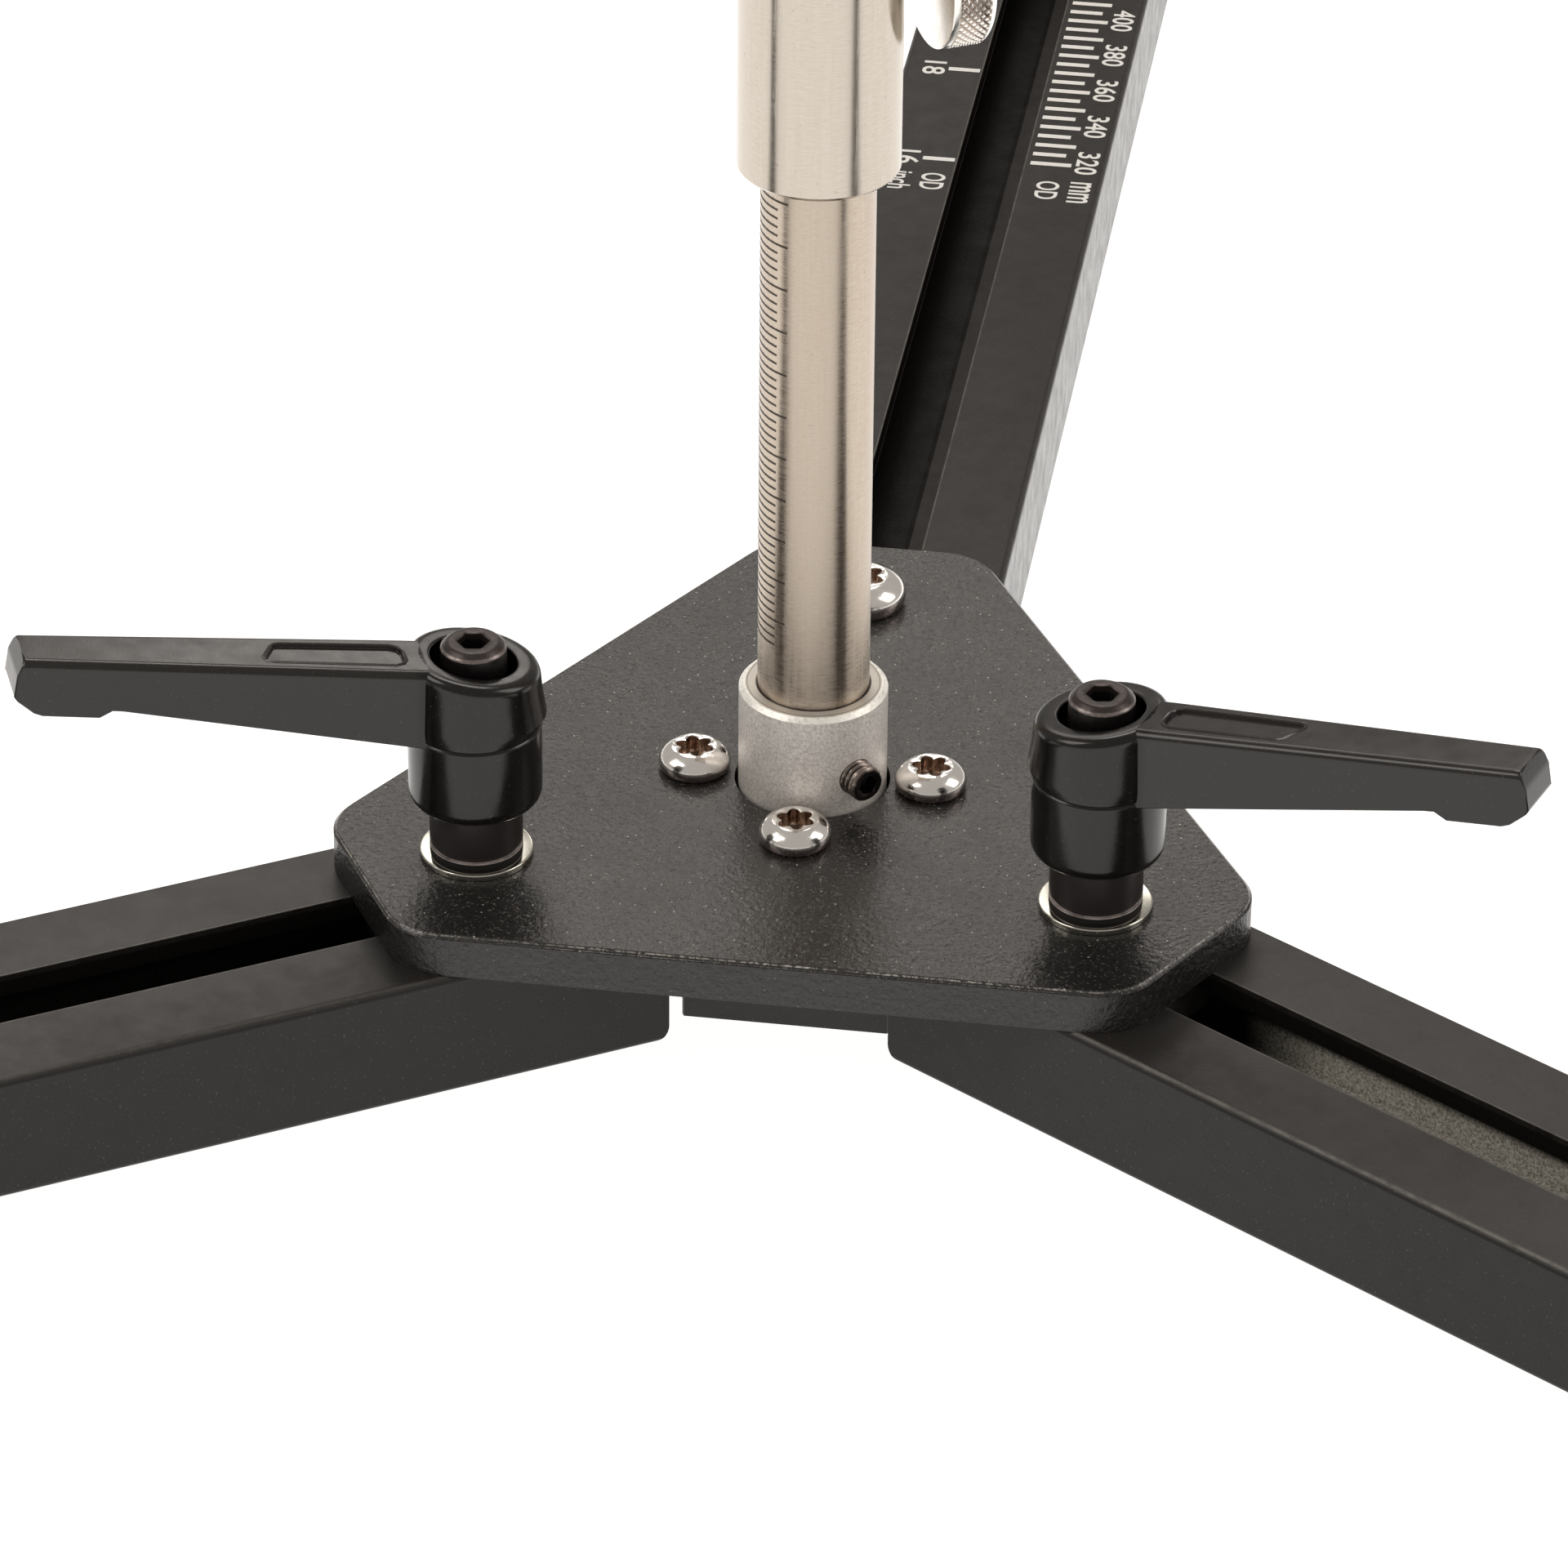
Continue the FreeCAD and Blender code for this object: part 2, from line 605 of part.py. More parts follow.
def make_post_flange():
    """Flange coupling: a disc held under the plate and a collar around the post."""
    body = new_body("post_flange", z=flange_bottom)
    top = D.flange_thick + D.plate_thick + D.collar_height
    turned(
        body,
        [
            (post_bore, ZERO),
            (flange_radius, ZERO),
            (flange_radius, D.flange_thick),
            (collar_radius, D.flange_thick),
            (collar_radius, top - D.collar_bevel),
            (collar_radius - D.collar_bevel, top),
            (post_bore, top),
        ],
    )
    holes = new_sketch(body, "holes", lift=D.flange_thick)
    for azimuth in range(0, 360, 90):
        x, y = polar(azimuth, plate_screw_circle, ZERO)
        draw_circle(holes, x, y, screw_clearance)
    pocket(body, holes)
    height = D.flange_thick + D.plate_thick + D.set_screw_height
    for index in (0, 1):
        radial_hole(body, f"radial{index}", D.set_screw_azimuth + 180.0 * index, height)


def radial_hole(body, name, azimuth, height):
    """A tapped hole from the axis outwards."""
    sketch = new_sketch(body, name, "XZ_Plane", turn=azimuth + 90.0)
    draw_circle(sketch, ZERO, height, D.small_screw + D.thread_gap)
    pocket(body, sketch, backwards=True)


def make_center_post():
    body = new_body("center_post", z=flange_bottom)
    waist = D.post_radius - D.post_bevel
    turned(
        body,
        [
            (ZERO, ZERO),
            (waist, ZERO),
            (D.post_radius, D.post_bevel),
            (D.post_radius, D.post_length - D.post_bevel),
            (waist, D.post_length),
            (ZERO, D.post_length),
        ],
    )


# ---------------------------------------------------------------- screws


def screw_with_domed_head(label, x, y, shank, length, head, head_height, lobe):
    """Button-head screw standing on the plate, with a six-lobed recess."""
    body = new_body(label, x=x, y=y, z=plate_top)
    turned(
        body,
        [
            (ZERO, -length),
            (shank - D.free_gap, -length),
            (shank, D.free_gap - length),
            (shank, ZERO),
            (head, ZERO),
            (head, head_height),
            (ZERO, head_height),
        ],
    )
    rounding = head_height * D.head_dome
    soften(body, "Fillet", rounding, lambda edge: is_circle(edge, head, head_height))
    recess = new_sketch(body, "recess", lift=head_height)
    draw_polygon(recess, polygon_corners(6, lobe, lobe * D.lobe_valley))
    pocket(body, recess, head_height * D.recess_share)


def make_plate_screws():
    for index in range(4):
        x, y = polar(90.0 * index, plate_screw_circle, ZERO)
        screw_with_domed_head(
            f"plate_screw_{index + 1}",
            x,
            y,
            D.small_screw,
            D.plate_screw_length,
            D.plate_screw_head,
            D.plate_screw_head_height,
            D.small_screw,
        )
    length = D.plate_thick + D.slot_depth - D.free_gap * 3
    screw_with_domed_head(
        "back_arm_screw",
        ZERO,
        D.back_screw_y,
        D.foot_screw,
        length,
        D.back_screw_head,
        D.back_screw_head_height,
        D.foot_screw,
    )


def make_set_screws():
    for index in (0, 1):
        body = new_body(
            f"flange_set_screw_{index + 1}",
            z=plate_top + D.set_screw_height,
            azimuth=D.set_screw_azimuth + 180.0 * index,
        )
        start = D.post_radius + D.thread_gap
        shank = new_sketch(body, "shank", "YZ_Plane", lift=start)
        draw_circle(shank, ZERO, ZERO, D.small_screw)
        pad(body, shank, set_screw_reach - start)
        socket = new_sketch(body, "socket", "YZ_Plane", lift=set_screw_reach)
        corner = D.set_screw_socket / 2 / SIN60
        draw_polygon(socket, polygon_corners(6, corner))
        pocket(body, socket, D.set_screw_socket)


def thumb_screw(label, x, y, z, azimuth, tip, knob_start, knob_radius, knob_thick):
    """Knurled-head screw that points at a shaft: its own X axis runs out along the screw."""
    body = new_body(label, x=x, y=y, z=z, azimuth=azimuth)
    end = knob_start + knob_thick
    turned(
        body,
        [
            (tip, ZERO),
            (tip, D.small_screw),
            (knob_start, D.small_screw),
            (knob_start, knob_radius),
            (end, knob_radius),
            (end, ZERO),
        ],
        axis="H_Axis",
    )
    soften(
        body,
        "Fillet",
        D.knob_edge,
        lambda edge: near(edge.CenterOfMass.x, end.value) and len(edge.Vertexes) == 1,
    )


# ---------------------------------------------------------------- sleeve and bush on the post


def make_sleeve():
    body = new_body("hub_sleeve", z=plate_top + D.sleeve_bottom)
    waist = sleeve_radius - D.sleeve_bevel
    turned(
        body,
        [
            (post_bore, ZERO),
            (waist, ZERO),
            (sleeve_radius, D.sleeve_bevel),
            (sleeve_radius, D.sleeve_length - D.sleeve_bevel),
            (waist, D.sleeve_length),
            (post_bore, D.sleeve_length),
        ],
    )
    radial_hole(body, "radial", D.sleeve_screw_azimuth, D.sleeve_screw_height)
    thumb_screw(
        "sleeve_thumb_screw",
        ZERO,
        ZERO,
        plate_top + D.sleeve_bottom + D.sleeve_screw_height,
        D.sleeve_screw_azimuth,
        D.post_radius + D.tip_gap,
        sleeve_radius + D.sleeve_knob_gap,
        D.sleeve_knob_radius,
        D.sleeve_knob_thick,
    )


def make_hub_bush():
    """Stepped bush that a wheel hub turns on; it stands on the sleeve."""
    body = new_body("hub_bush", z=sleeve_top)
    flange = post_bore + D.bush_flange_wall
    low_seat = post_bore + D.bush_low_wall
    high_seat = post_bore + D.bush_high_wall
    shoulder = D.bush_flange_thick + D.bush_step
    top = shoulder + D.bush_top_step
    turned(
        body,
        [
            (post_bore, ZERO),
            (flange, ZERO),
            (flange, D.bush_flange_thick),
            (low_seat, D.bush_flange_thick),
            (low_seat, shoulder),
            (high_seat, shoulder),
            (high_seat, top - D.bush_bevel),
            (high_seat - D.bush_bevel, top),
            (post_bore, top),
        ],
    )


# ---------------------------------------------------------------- arms


def make_arm(side):
    """Slotted extrusion with hollow sides; the arm's own X axis runs outwards."""
    arm = ARMS[side]
    body = new_body(f"{side}_arm", x=arm.x, y=arm.y, z=D.foot_height, azimuth=arm.azimuth)
    section = new_sketch(body, "section", "YZ_Plane", lift=arm.start)
    half = D.arm_width / 2
    mouth = D.slot_width / 2
    inner = D.slot_inner_width / 2
    right_side = [
        (half, ZERO),
        (half, D.arm_height),
        (mouth, D.arm_height),
        (mouth, lip_underside),
        (inner, lip_underside),
        (inner, slot_floor),
    ]
    draw_polygon(section, right_side + [(-y, z) for y, z in reversed(right_side)])
    for sign in (-1, 1):
        near_side = sign * (inner + chamber_wall)
        far_side = sign * (inner + chamber_wall + D.chamber_width)
        draw_box(section, near_side, far_side, chamber_floor, chamber_floor + D.chamber_height)
    pad(body, section, D.arm_reach - arm.distance - arm.start)

    def is_outer_edge(edge):
        ends = edge.Vertexes
        level = near(ends[0].Z, ends[-1].Z) and near(ends[0].Y, ends[-1].Y)
        on_face = near(ends[0].Z, 0.0) or near(ends[0].Z, D.arm_height.value)
        return level and on_face and near(abs(ends[0].Y), half.value)

    soften(body, "Fillet", D.arm_edge, is_outer_edge)
    if side != "back":
        heel = new_sketch(body, "heel", "XZ_Plane")
        draw_round_corner(heel, arm.start, D.arm_heel)
        pocket(body, heel, symmetric=True)
    drill = new_sketch(body, "drill", "XZ_Plane", along=foot_distance(arm))
    hole = D.foot_screw + D.thread_gap
    sink = D.foot_screw_head + D.thread_gap
    draw_polygon(
        drill,
        [
            (ZERO, -D.foot_floor),
            (hole, -D.foot_floor),
            (hole, slot_floor - D.foot_screw_cone),
            (sink, slot_floor),
            (ZERO, slot_floor),
        ],
    )
    groove(body, drill)


def foot_distance(arm):
    return D.arm_reach - D.foot_inset - arm.distance


def make_end_cap(side):
    """Moulded cover of an arm's outer end, with a peg in each hollow chamber."""
    arm = ARMS[side]
    body = new_body(f"{side}_end_cap", x=arm.x, y=arm.y, z=D.foot_height, azimuth=arm.azimuth)
    end = D.arm_reach - arm.distance
    face = new_sketch(body, "face", "YZ_Plane", lift=end)
    half = D.arm_width / 2
    draw_box(face, -half, half, ZERO, D.arm_height)
    pad(body, face, D.cap_thick)
    soften(body, "Fillet", D.arm_edge, lambda edge: edge.BoundBox.XLength > D.cap_thick.value / 2)
    far_end = end + D.cap_thick
    soften(
        body,
        "Fillet",
        D.arm_edge,
        lambda edge: all(near(vertex.X, far_end.value) for vertex in edge.Vertexes),
    )
    pegs = new_sketch(body, "pegs", "YZ_Plane", lift=end)
    low = chamber_floor + D.slot_gap
    high = chamber_floor + D.chamber_height - D.slot_gap
    for sign in (-1, 1):
        near_side = D.slot_inner_width / 2 + chamber_wall + D.slot_gap
        far_side = near_side + D.chamber_width - D.slot_gap * 2
        draw_box(pegs, sign * near_side, sign * far_side, low, high)
    pad(body, pegs, D.cap_peg, backwards=True)


def make_foot(side):
    """Rubber foot under an arm's outer end and the countersunk screw that holds it."""
    arm = ARMS[side]
    reach = foot_distance(arm)
    x = arm.x + cosine(arm.azimuth) * reach
    y = arm.y + sine(arm.azimuth) * reach
    hole = D.foot_screw + D.thread_gap
    foot = new_body(f"{side}_foot", x=x, y=y)
    turned(
        foot,
        [
            (ZERO, ZERO),
            (D.foot_radius - D.arm_edge, ZERO),
            (D.foot_radius, D.arm_edge),
            (D.foot_radius, D.foot_height),
            (hole, D.foot_height),
            (hole, D.foot_floor),
            (ZERO, D.foot_floor),
        ],
    )
    screw = new_body(f"{side}_foot_screw", x=x, y=y)
    top = D.foot_height + slot_floor
    turned(
        screw,
        [
            (ZERO, D.foot_floor + D.free_gap),
            (D.foot_screw, D.foot_floor + D.free_gap),
            (D.foot_screw, top - D.foot_screw_cone),
            (D.foot_screw_head, top),
            (ZERO, top),
        ],
    )
    socket = new_sketch(screw, "socket", lift=top)
    draw_polygon(socket, polygon_corners(6, D.cap_screw_socket / 2 / SIN60))
    pocket(screw, socket, D.foot_screw_cone * D.socket_share)


def slot_nut(label, side, distance, length, thread):
    """Nut with a neck in the slot's mouth and a foot under its lips."""
    arm = ARMS[side]
    body = new_body(label, x=arm.x, y=arm.y, z=D.foot_height, azimuth=arm.azimuth)
    section = new_sketch(body, "section", "YZ_Plane", lift=distance)
    neck = D.slot_width / 2 - D.slot_gap
    foot = D.slot_inner_width / 2 - D.slot_gap
    right_side = [
        (foot, lip_underside - D.nut_thick),
        (foot, lip_underside),
        (neck, lip_underside),
        (neck, D.arm_height - D.slot_gap),
    ]
    draw_polygon(section, right_side + [(-y, z) for y, z in reversed(right_side)])
    pad(body, section, length, symmetric=True)
    hole = new_sketch(body, "hole", lift=D.arm_height)
    draw_circle(hole, distance, ZERO, thread)
    pocket(body, hole)


def make_slot_nuts():
    slot_nut("back_arm_t_nut", "back", D.back_screw_y, D.back_nut_length, D.foot_screw + D.thread_gap)
    for side in ("left", "right"):
        thread = D.pivot_screw + D.running_gap
        slot_nut(f"{side}_t_nut", side, ZERO, D.pivot_nut_length, thread)


# ---------------------------------------------------------------- clamping levers


def make_washer(side):
    arm = ARMS[side]
    body = new_body(f"{side}_washer", x=arm.x, y=arm.y, z=plate_top)
    bevel = D.washer_thick / 4
    hole = D.pivot_screw + D.slot_gap
    turned(
        body,
        [
            (hole, ZERO),
            (D.washer_radius, ZERO),
            (D.washer_radius, D.washer_thick - bevel),
            (D.washer_radius - bevel, D.washer_thick),
            (hole, D.washer_thick),
        ],
    )


def make_lever_stud(side):
    """Steel insert of the lever with its clamping stud."""
    arm = ARMS[side]
    body = new_body(f"{side}_lever_stud", x=arm.x, y=arm.y, z=plate_top)
    tapped = D.small_screw + D.thread_gap
    turned(
        body,
        [
            (ZERO, -D.stud_depth),
            (D.pivot_screw - D.free_gap, -D.stud_depth),
            (D.pivot_screw, D.free_gap - D.stud_depth),
            (D.pivot_screw, D.washer_thick),
            (D.stem_radius, D.washer_thick),
            (D.stem_radius, D.stem_foot_top),
            (D.stem_groove, D.stem_foot_top),
            (D.stem_groove, D.stem_groove_top),
            (D.stem_radius - D.free_gap, D.stem_groove_top),
            (D.stem_radius, D.stem_groove_top + D.free_gap),
            (D.stem_radius, D.stem_top),
            (tapped, D.stem_top),
            (tapped, D.cap_screw_end - D.free_gap),
            (ZERO, D.cap_screw_end - D.free_gap),
        ],
    )


def make_lever_handle(side):
    """Moulded lever: a round hub over the insert and a rising, tapered handle."""
    arm = ARMS[side]
    azimuth = HANDLE_AZIMUTH[side]
    body = new_body(f"{side}_lever_handle", x=arm.x, y=arm.y, z=plate_top, azimuth=azimuth)
    turned(
        body,
        [
            (ZERO, D.handle_bottom),
            (D.skirt_radius, D.handle_bottom),
            (D.skirt_radius, D.handle_seam),
            (D.hub_seam_radius, D.handle_seam),
            (D.hub_waist_radius, D.handle_waist),
            (D.hub_top_radius, D.handle_top),
            (ZERO, D.handle_top),
        ],
    )
    soften(
        body, "Fillet", D.skirt_round, lambda edge: is_circle(edge, D.skirt_radius, D.handle_bottom)
    )

    def top_at(distance):
        return D.handle_top + D.handle_rise * distance

    def underside_at(distance):
        return D.handle_under_start + D.handle_under_rise * distance

    root = D.recess_radius
    tip_x = D.handle_length + D.handle_tip_lean
    tip_low = top_at(D.handle_length) - D.handle_tip_thick
    hook_start = D.handle_length - D.hook_start
    hook_low = D.handle_length - D.hook_low
    side_view = new_sketch(body, "side_view", "XZ_Plane")
    draw_polygon(
        side_view,
        [
            (root, underside_at(root)),
            (hook_start, underside_at(hook_start)),
            (hook_low, underside_at(hook_low) - D.hook_drop),
            (D.handle_length - D.hook_end, tip_low - D.hook_lip),
            (tip_x, tip_low),
            (D.handle_length, top_at(D.handle_length)),
            (root, top_at(root)),
        ],
    )
    pad(body, side_view, D.handle_half_width * 2, symmetric=True)
    tapers = new_sketch(body, "tapers", lift=top_at(tip_x))
    beyond = tip_x + D.free_gap
    for sign in (-1, 1):
        draw_polygon(
            tapers,
            [
                (D.hub_waist_radius, sign * D.handle_half_width),
                (beyond, sign * D.handle_tip_half_width),
                (beyond, sign * (D.handle_half_width + D.free_gap)),
                (D.hub_waist_radius, sign * (D.handle_half_width + D.free_gap)),
            ],
        )
    pocket(body, tapers)

    def is_top_edge(edge):
        ends = edge.Vertexes
        if len(ends) != 2 or edge.BoundBox.XLength < D.handle_length.value / 2:
            return False
        return all(near(end.Z, top_at(sized(end.X)).value) for end in ends)

    soften(body, "Chamfer", D.handle_bevel, is_top_edge)
    bore = new_sketch(body, "bore", "XZ_Plane")
    stem = D.stem_radius + D.running_gap * 2
    shank = D.small_screw + D.free_gap / 2
    above = top_at(tip_x)
    draw_polygon(
        bore,
        [
            (ZERO, D.handle_bottom - D.free_gap),
            (stem, D.handle_bottom - D.free_gap),
            (stem, D.stem_top),
            (shank, D.stem_top),
            (shank, spring_seat),
            (D.recess_radius, spring_seat),
            (D.recess_radius, above),
            (ZERO, above),
        ],
    )
    groove(body, bore)


def make_lever_screw(side):
    """Socket-head screw that holds the handle on its insert."""
    arm = ARMS[side]
    body = new_body(f"{side}_lever_screw", x=arm.x, y=arm.y, z=plate_top)
    turned(
        body,
        [
            (ZERO, D.cap_screw_end),
            (D.small_screw, D.cap_screw_end),
            (D.small_screw, head_underside),
            (D.cap_screw_head, head_underside),
            (D.cap_screw_head, D.cap_screw_top - D.free_gap),
            (D.cap_screw_head - D.free_gap, D.cap_screw_top),
            (ZERO, D.cap_screw_top),
        ],
    )
    socket = new_sketch(body, "socket", lift=D.cap_screw_top)
    draw_polygon(socket, polygon_corners(6, D.cap_screw_socket / 2 / SIN60))
    pocket(body, socket, D.cap_screw_head_height / 2)


def make_lever_spring(side):
    """Open coil between the handle's web and the head of its screw."""
    arm = ARMS[side]
    body = new_body(f"{side}_lever_spring", x=arm.x, y=arm.y, z=plate_top + spring_seat)
    wire = new_sketch(body, "wire", "XZ_Plane")
    draw_circle(wire, D.spring_radius, D.spring_wire, D.spring_wire)
    coil = body.newObject("PartDesign::AdditiveHelix", f"{body.Name}_coil")
    coil.Profile = wire
    coil.ReferenceAxis = (wire, ["V_Axis"])
    coil.Mode = "height-turns-angle"
    bind(coil, "Height", head_underside - spring_seat - D.spring_wire * 2)
    bind(coil, "Turns", D.spring_turns)
    finish(body, coil)


# ---------------------------------------------------------------- rim supports


def support_origin(side):
    """Where a support's own frame lies: at its inner end, on the arm's top."""
    arm = ARMS[side]
    reach = pointer_distance - arm.distance
    return (
        arm.x + cosine(arm.azimuth) * reach,
        arm.y + sine(arm.azimuth) * reach,
        arm_top,
        arm.azimuth,
    )


def support_body(side, name):
    x, y, z, azimuth = support_origin(side)
    return new_body(f"{side}_support_{name}", x=x, y=y, z=z, azimuth=azimuth)


def make_support_base(side):
    """Block that slides on an arm, with a tongue in the slot and a tower for the rod."""
    body = support_body(side, "base")
    side_view = new_sketch(body, "side_view", "XZ_Plane")
    draw_polygon(
        side_view,
        [
            (ZERO, ZERO),
            (D.support_length, ZERO),
            (D.support_length, D.support_height),
            (D.tower_length, D.support_height),
            (D.tower_length, D.tower_height),
            (ZERO, D.tower_height),
        ],
    )
    pad(body, side_view, D.support_width, symmetric=True)
    flanks = new_sketch(body, "flanks", lift=D.tower_height)
    for sign in (-1, 1):
        outer = sign * (D.support_width / 2 + D.free_gap)
        draw_box(flanks, -D.free_gap, D.tower_length + D.free_gap, sign * D.tower_width / 2, outer)
    pocket(body, flanks, D.tower_height - D.support_height)
    soften(body, "Fillet", D.support_edge, is_upright_outer(D.support_length))
    tongue = new_sketch(body, "tongue")
    mouth = D.slot_width / 2 - D.slot_gap
    draw_box(tongue, ZERO, D.support_length, -mouth, mouth)
    pad(body, tongue, D.slot_lip - D.slot_gap, backwards=True)
    rod_hole = new_sketch(body, "rod_hole", lift=D.tower_height)
    draw_circle(rod_hole, D.rod_x, ZERO, D.rod_radius + D.running_gap)
    pocket(body, rod_hole, D.tower_height - D.rod_socket_floor)
    clamp_hole = new_sketch(body, "clamp_hole", lift=D.support_height)
    draw_circle(clamp_hole, D.clamp_x, ZERO, D.pivot_screw + D.running_gap * 2)
    pocket(body, clamp_hole)
    lock_hole = new_sketch(body, "lock_hole", "XZ_Plane")
    draw_circle(lock_hole, D.rod_x, D.lock_screw_height, D.small_screw + D.thread_gap)
    pocket(body, lock_hole, backwards=ARMS[side].lock_side < 0)


def is_upright_outer(length):
    """Test for the upright edges at both ends of a block of this length."""

    def wanted(edge):
        x = edge.Vertexes[0].X
        return is_upright(edge) and (near(x, 0.0) or near(x, length.value))

    return wanted


def make_support_nut(side):
    body = support_body(side, "t_nut")
    plan = new_sketch(body, "plan", lift=-D.slot_lip)
    half = D.support_nut_length / 2
    foot = D.slot_inner_width / 2 - D.slot_gap
    draw_box(plan, D.clamp_x - half, D.clamp_x + half, -foot, foot)
    draw_circle(plan, D.clamp_x, ZERO, D.pivot_screw + D.running_gap)
    pad(body, plan, D.nut_thick, backwards=True)


def make_support_clamp(side):
    """Upright thumb screw that draws the nut against the slot's lips."""
    x, y, z, azimuth = support_origin(side)
    x = x + cosine(azimuth) * D.clamp_x
    y = y + sine(azimuth) * D.clamp_x
    body = new_body(f"{side}_support_clamp_screw", x=x, y=y, z=z, azimuth=azimuth)
    neck_top = D.support_height + D.clamp_neck_height
    top = neck_top + D.clamp_knob_thick
    turned(
        body,
        [
            (ZERO, -D.clamp_screw_depth),
            (D.pivot_screw - D.free_gap, -D.clamp_screw_depth),
            (D.pivot_screw, D.free_gap - D.clamp_screw_depth),
            (D.pivot_screw, D.support_height),
            (D.clamp_neck_radius, D.support_height),
            (D.clamp_neck_radius, neck_top),
            (D.clamp_knob_radius, neck_top),
            (D.clamp_knob_radius, top),
            (ZERO, top),
        ],
    )
    soften(body, "Fillet", D.knob_edge, lambda edge: is_circle(edge, D.clamp_knob_radius, top))


def make_support_rod(side):
    """Height rod of a support; its own frame stands on the rod's axis."""
    x, y, z, azimuth = support_origin(side)
    x = x + cosine(azimuth) * D.rod_x
    y = y + sine(azimuth) * D.rod_x
    body = new_body(f"{side}_support_rod", x=x, y=y, z=z, azimuth=azimuth)
    waist = D.rod_radius - D.free_gap
    top = D.jaw_bottom + D.rod_socket
    turned(
        body,
        [
            (ZERO, D.rod_bottom),
            (waist, D.rod_bottom),
            (D.rod_radius, D.rod_bottom + D.free_gap),
            (D.rod_radius, top - D.free_gap),
            (waist, top),
            (ZERO, top),
        ],
    )


def make_support_jaw(side):
    """Stepped jaw on the rod: a seat for the rim's side and a stop for its outer edge."""
    body = support_body(side, "jaw")
    side_view = new_sketch(body, "side_view", "XZ_Plane")
    stop_top = D.seat_height + D.jaw_stop_height
    nose_low = D.seat_height - D.jaw_nose_thick
    draw_polygon(
        side_view,
        [
            (ZERO, D.jaw_bottom),
            (D.tower_length, D.jaw_bottom),
            (D.tower_length, stop_top),
            (D.rim_offset, stop_top),
            (D.rim_offset, D.seat_height),
            (-D.jaw_nose, D.seat_height),
            (-D.jaw_nose, nose_low),
            (ZERO, nose_low - D.jaw_nose_thick),
        ],
    )
    pad(body, side_view, D.jaw_width, symmetric=True)
    socket = new_sketch(body, "socket", lift=D.jaw_bottom)
    draw_circle(socket, D.rod_x, ZERO, D.rod_radius + D.running_gap)
    pocket(body, socket, D.rod_socket + D.slot_gap, backwards=True)


def make_support_lock(side):
    """Thumb screw in the tower's side that holds the rod's height."""
    x, y, z, azimuth = support_origin(side)
    thumb_screw(
        f"{side}_support_lock_screw",
        x + cosine(azimuth) * D.rod_x,
        y + sine(azimuth) * D.rod_x,
        z + D.lock_screw_height,
        azimuth + 90.0 * ARMS[side].lock_side,
        D.rod_radius + D.tip_gap,
        D.tower_width / 2 + D.lock_knob_gap,
        D.lock_knob_radius,
        D.lock_knob_thick,
    )


# ---------------------------------------------------------------- the whole stand

make_center_plate()
make_hub_block()
make_hub_foot_pad()
make_post_flange()
make_center_post()
make_plate_screws()
make_set_screws()
make_sleeve()
make_hub_bush()
make_slot_nuts()
for arm_side in ARMS:
    make_arm(arm_side)
    make_end_cap(arm_side)
    make_foot(arm_side)
    make_support_base(arm_side)
    make_support_nut(arm_side)
    make_support_clamp(arm_side)
    make_support_rod(arm_side)
    make_support_jaw(arm_side)
    make_support_lock(arm_side)
for lever_side in HANDLE_AZIMUTH:
    make_washer(lever_side)
    make_lever_stud(lever_side)
    make_lever_handle(lever_side)
    make_lever_screw(lever_side)
    make_lever_spring(lever_side)

doc.recompute()
for item in doc.Objects:
    if {"Invalid", "Error"} & set(item.State):
        raise RuntimeError(f"{item.Name} failed to recompute")
for node in nodes:
    if node.Shape.isNull() or not node.Shape.isValid():
        raise RuntimeError(f"{node.Label} has no valid shape")
    if len(node.Shape.Solids) != 1:
        raise RuntimeError(f"{node.Label} is not one solid")

os.makedirs("parts", exist_ok=True)
for node in nodes:
    node.Shape.exportStep(f"parts/{node.Label}.step")
print(f"{len(nodes)} sub-parts written")
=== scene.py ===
import json
import math

import bmesh
import bpy
from mathutils import Matrix, Vector


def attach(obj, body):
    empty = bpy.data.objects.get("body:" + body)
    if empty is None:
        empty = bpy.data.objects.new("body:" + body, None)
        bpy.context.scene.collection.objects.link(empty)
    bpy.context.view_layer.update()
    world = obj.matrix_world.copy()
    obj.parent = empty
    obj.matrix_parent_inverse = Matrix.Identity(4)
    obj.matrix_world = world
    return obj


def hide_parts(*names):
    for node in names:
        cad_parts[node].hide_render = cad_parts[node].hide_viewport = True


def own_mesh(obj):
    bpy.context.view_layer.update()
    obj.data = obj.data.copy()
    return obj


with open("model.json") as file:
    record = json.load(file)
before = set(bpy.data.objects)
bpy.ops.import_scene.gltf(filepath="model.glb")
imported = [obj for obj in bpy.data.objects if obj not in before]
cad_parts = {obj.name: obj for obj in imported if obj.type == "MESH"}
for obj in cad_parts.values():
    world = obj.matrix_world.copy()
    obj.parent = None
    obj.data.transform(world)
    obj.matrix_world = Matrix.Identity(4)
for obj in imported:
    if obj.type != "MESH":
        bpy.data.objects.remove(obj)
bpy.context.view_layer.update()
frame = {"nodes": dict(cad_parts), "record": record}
nodes = frame["nodes"]
M = 0.001
TAU = 2 * math.pi

# -------------------------------- places, in millimetres

ARM_TOP = 19.6
ARM_HALF = 14.35
SLOT_FLOOR = 10.6
SLOT_HALF = 7.25
LIP_UNDER = 17.0
MOUTH_HALF = 4.15
PLATE_TOP = 24.6
COLLAR_TOP = 36.6
POST_RADIUS = 6.0
PIVOT = Vector((33.0, 20.4, 0.0))

# each arm's start (x, y), its azimuth and how far that start is from the post
ARMS = {
    "back": (0.0, 0.0, 90.0, 0.0),
    "left": (-PIVOT.x, -PIVOT.y, -147.9, PIVOT.length),
    "right": (PIVOT.x, -PIVOT.y, -32.9, PIVOT.length),
}
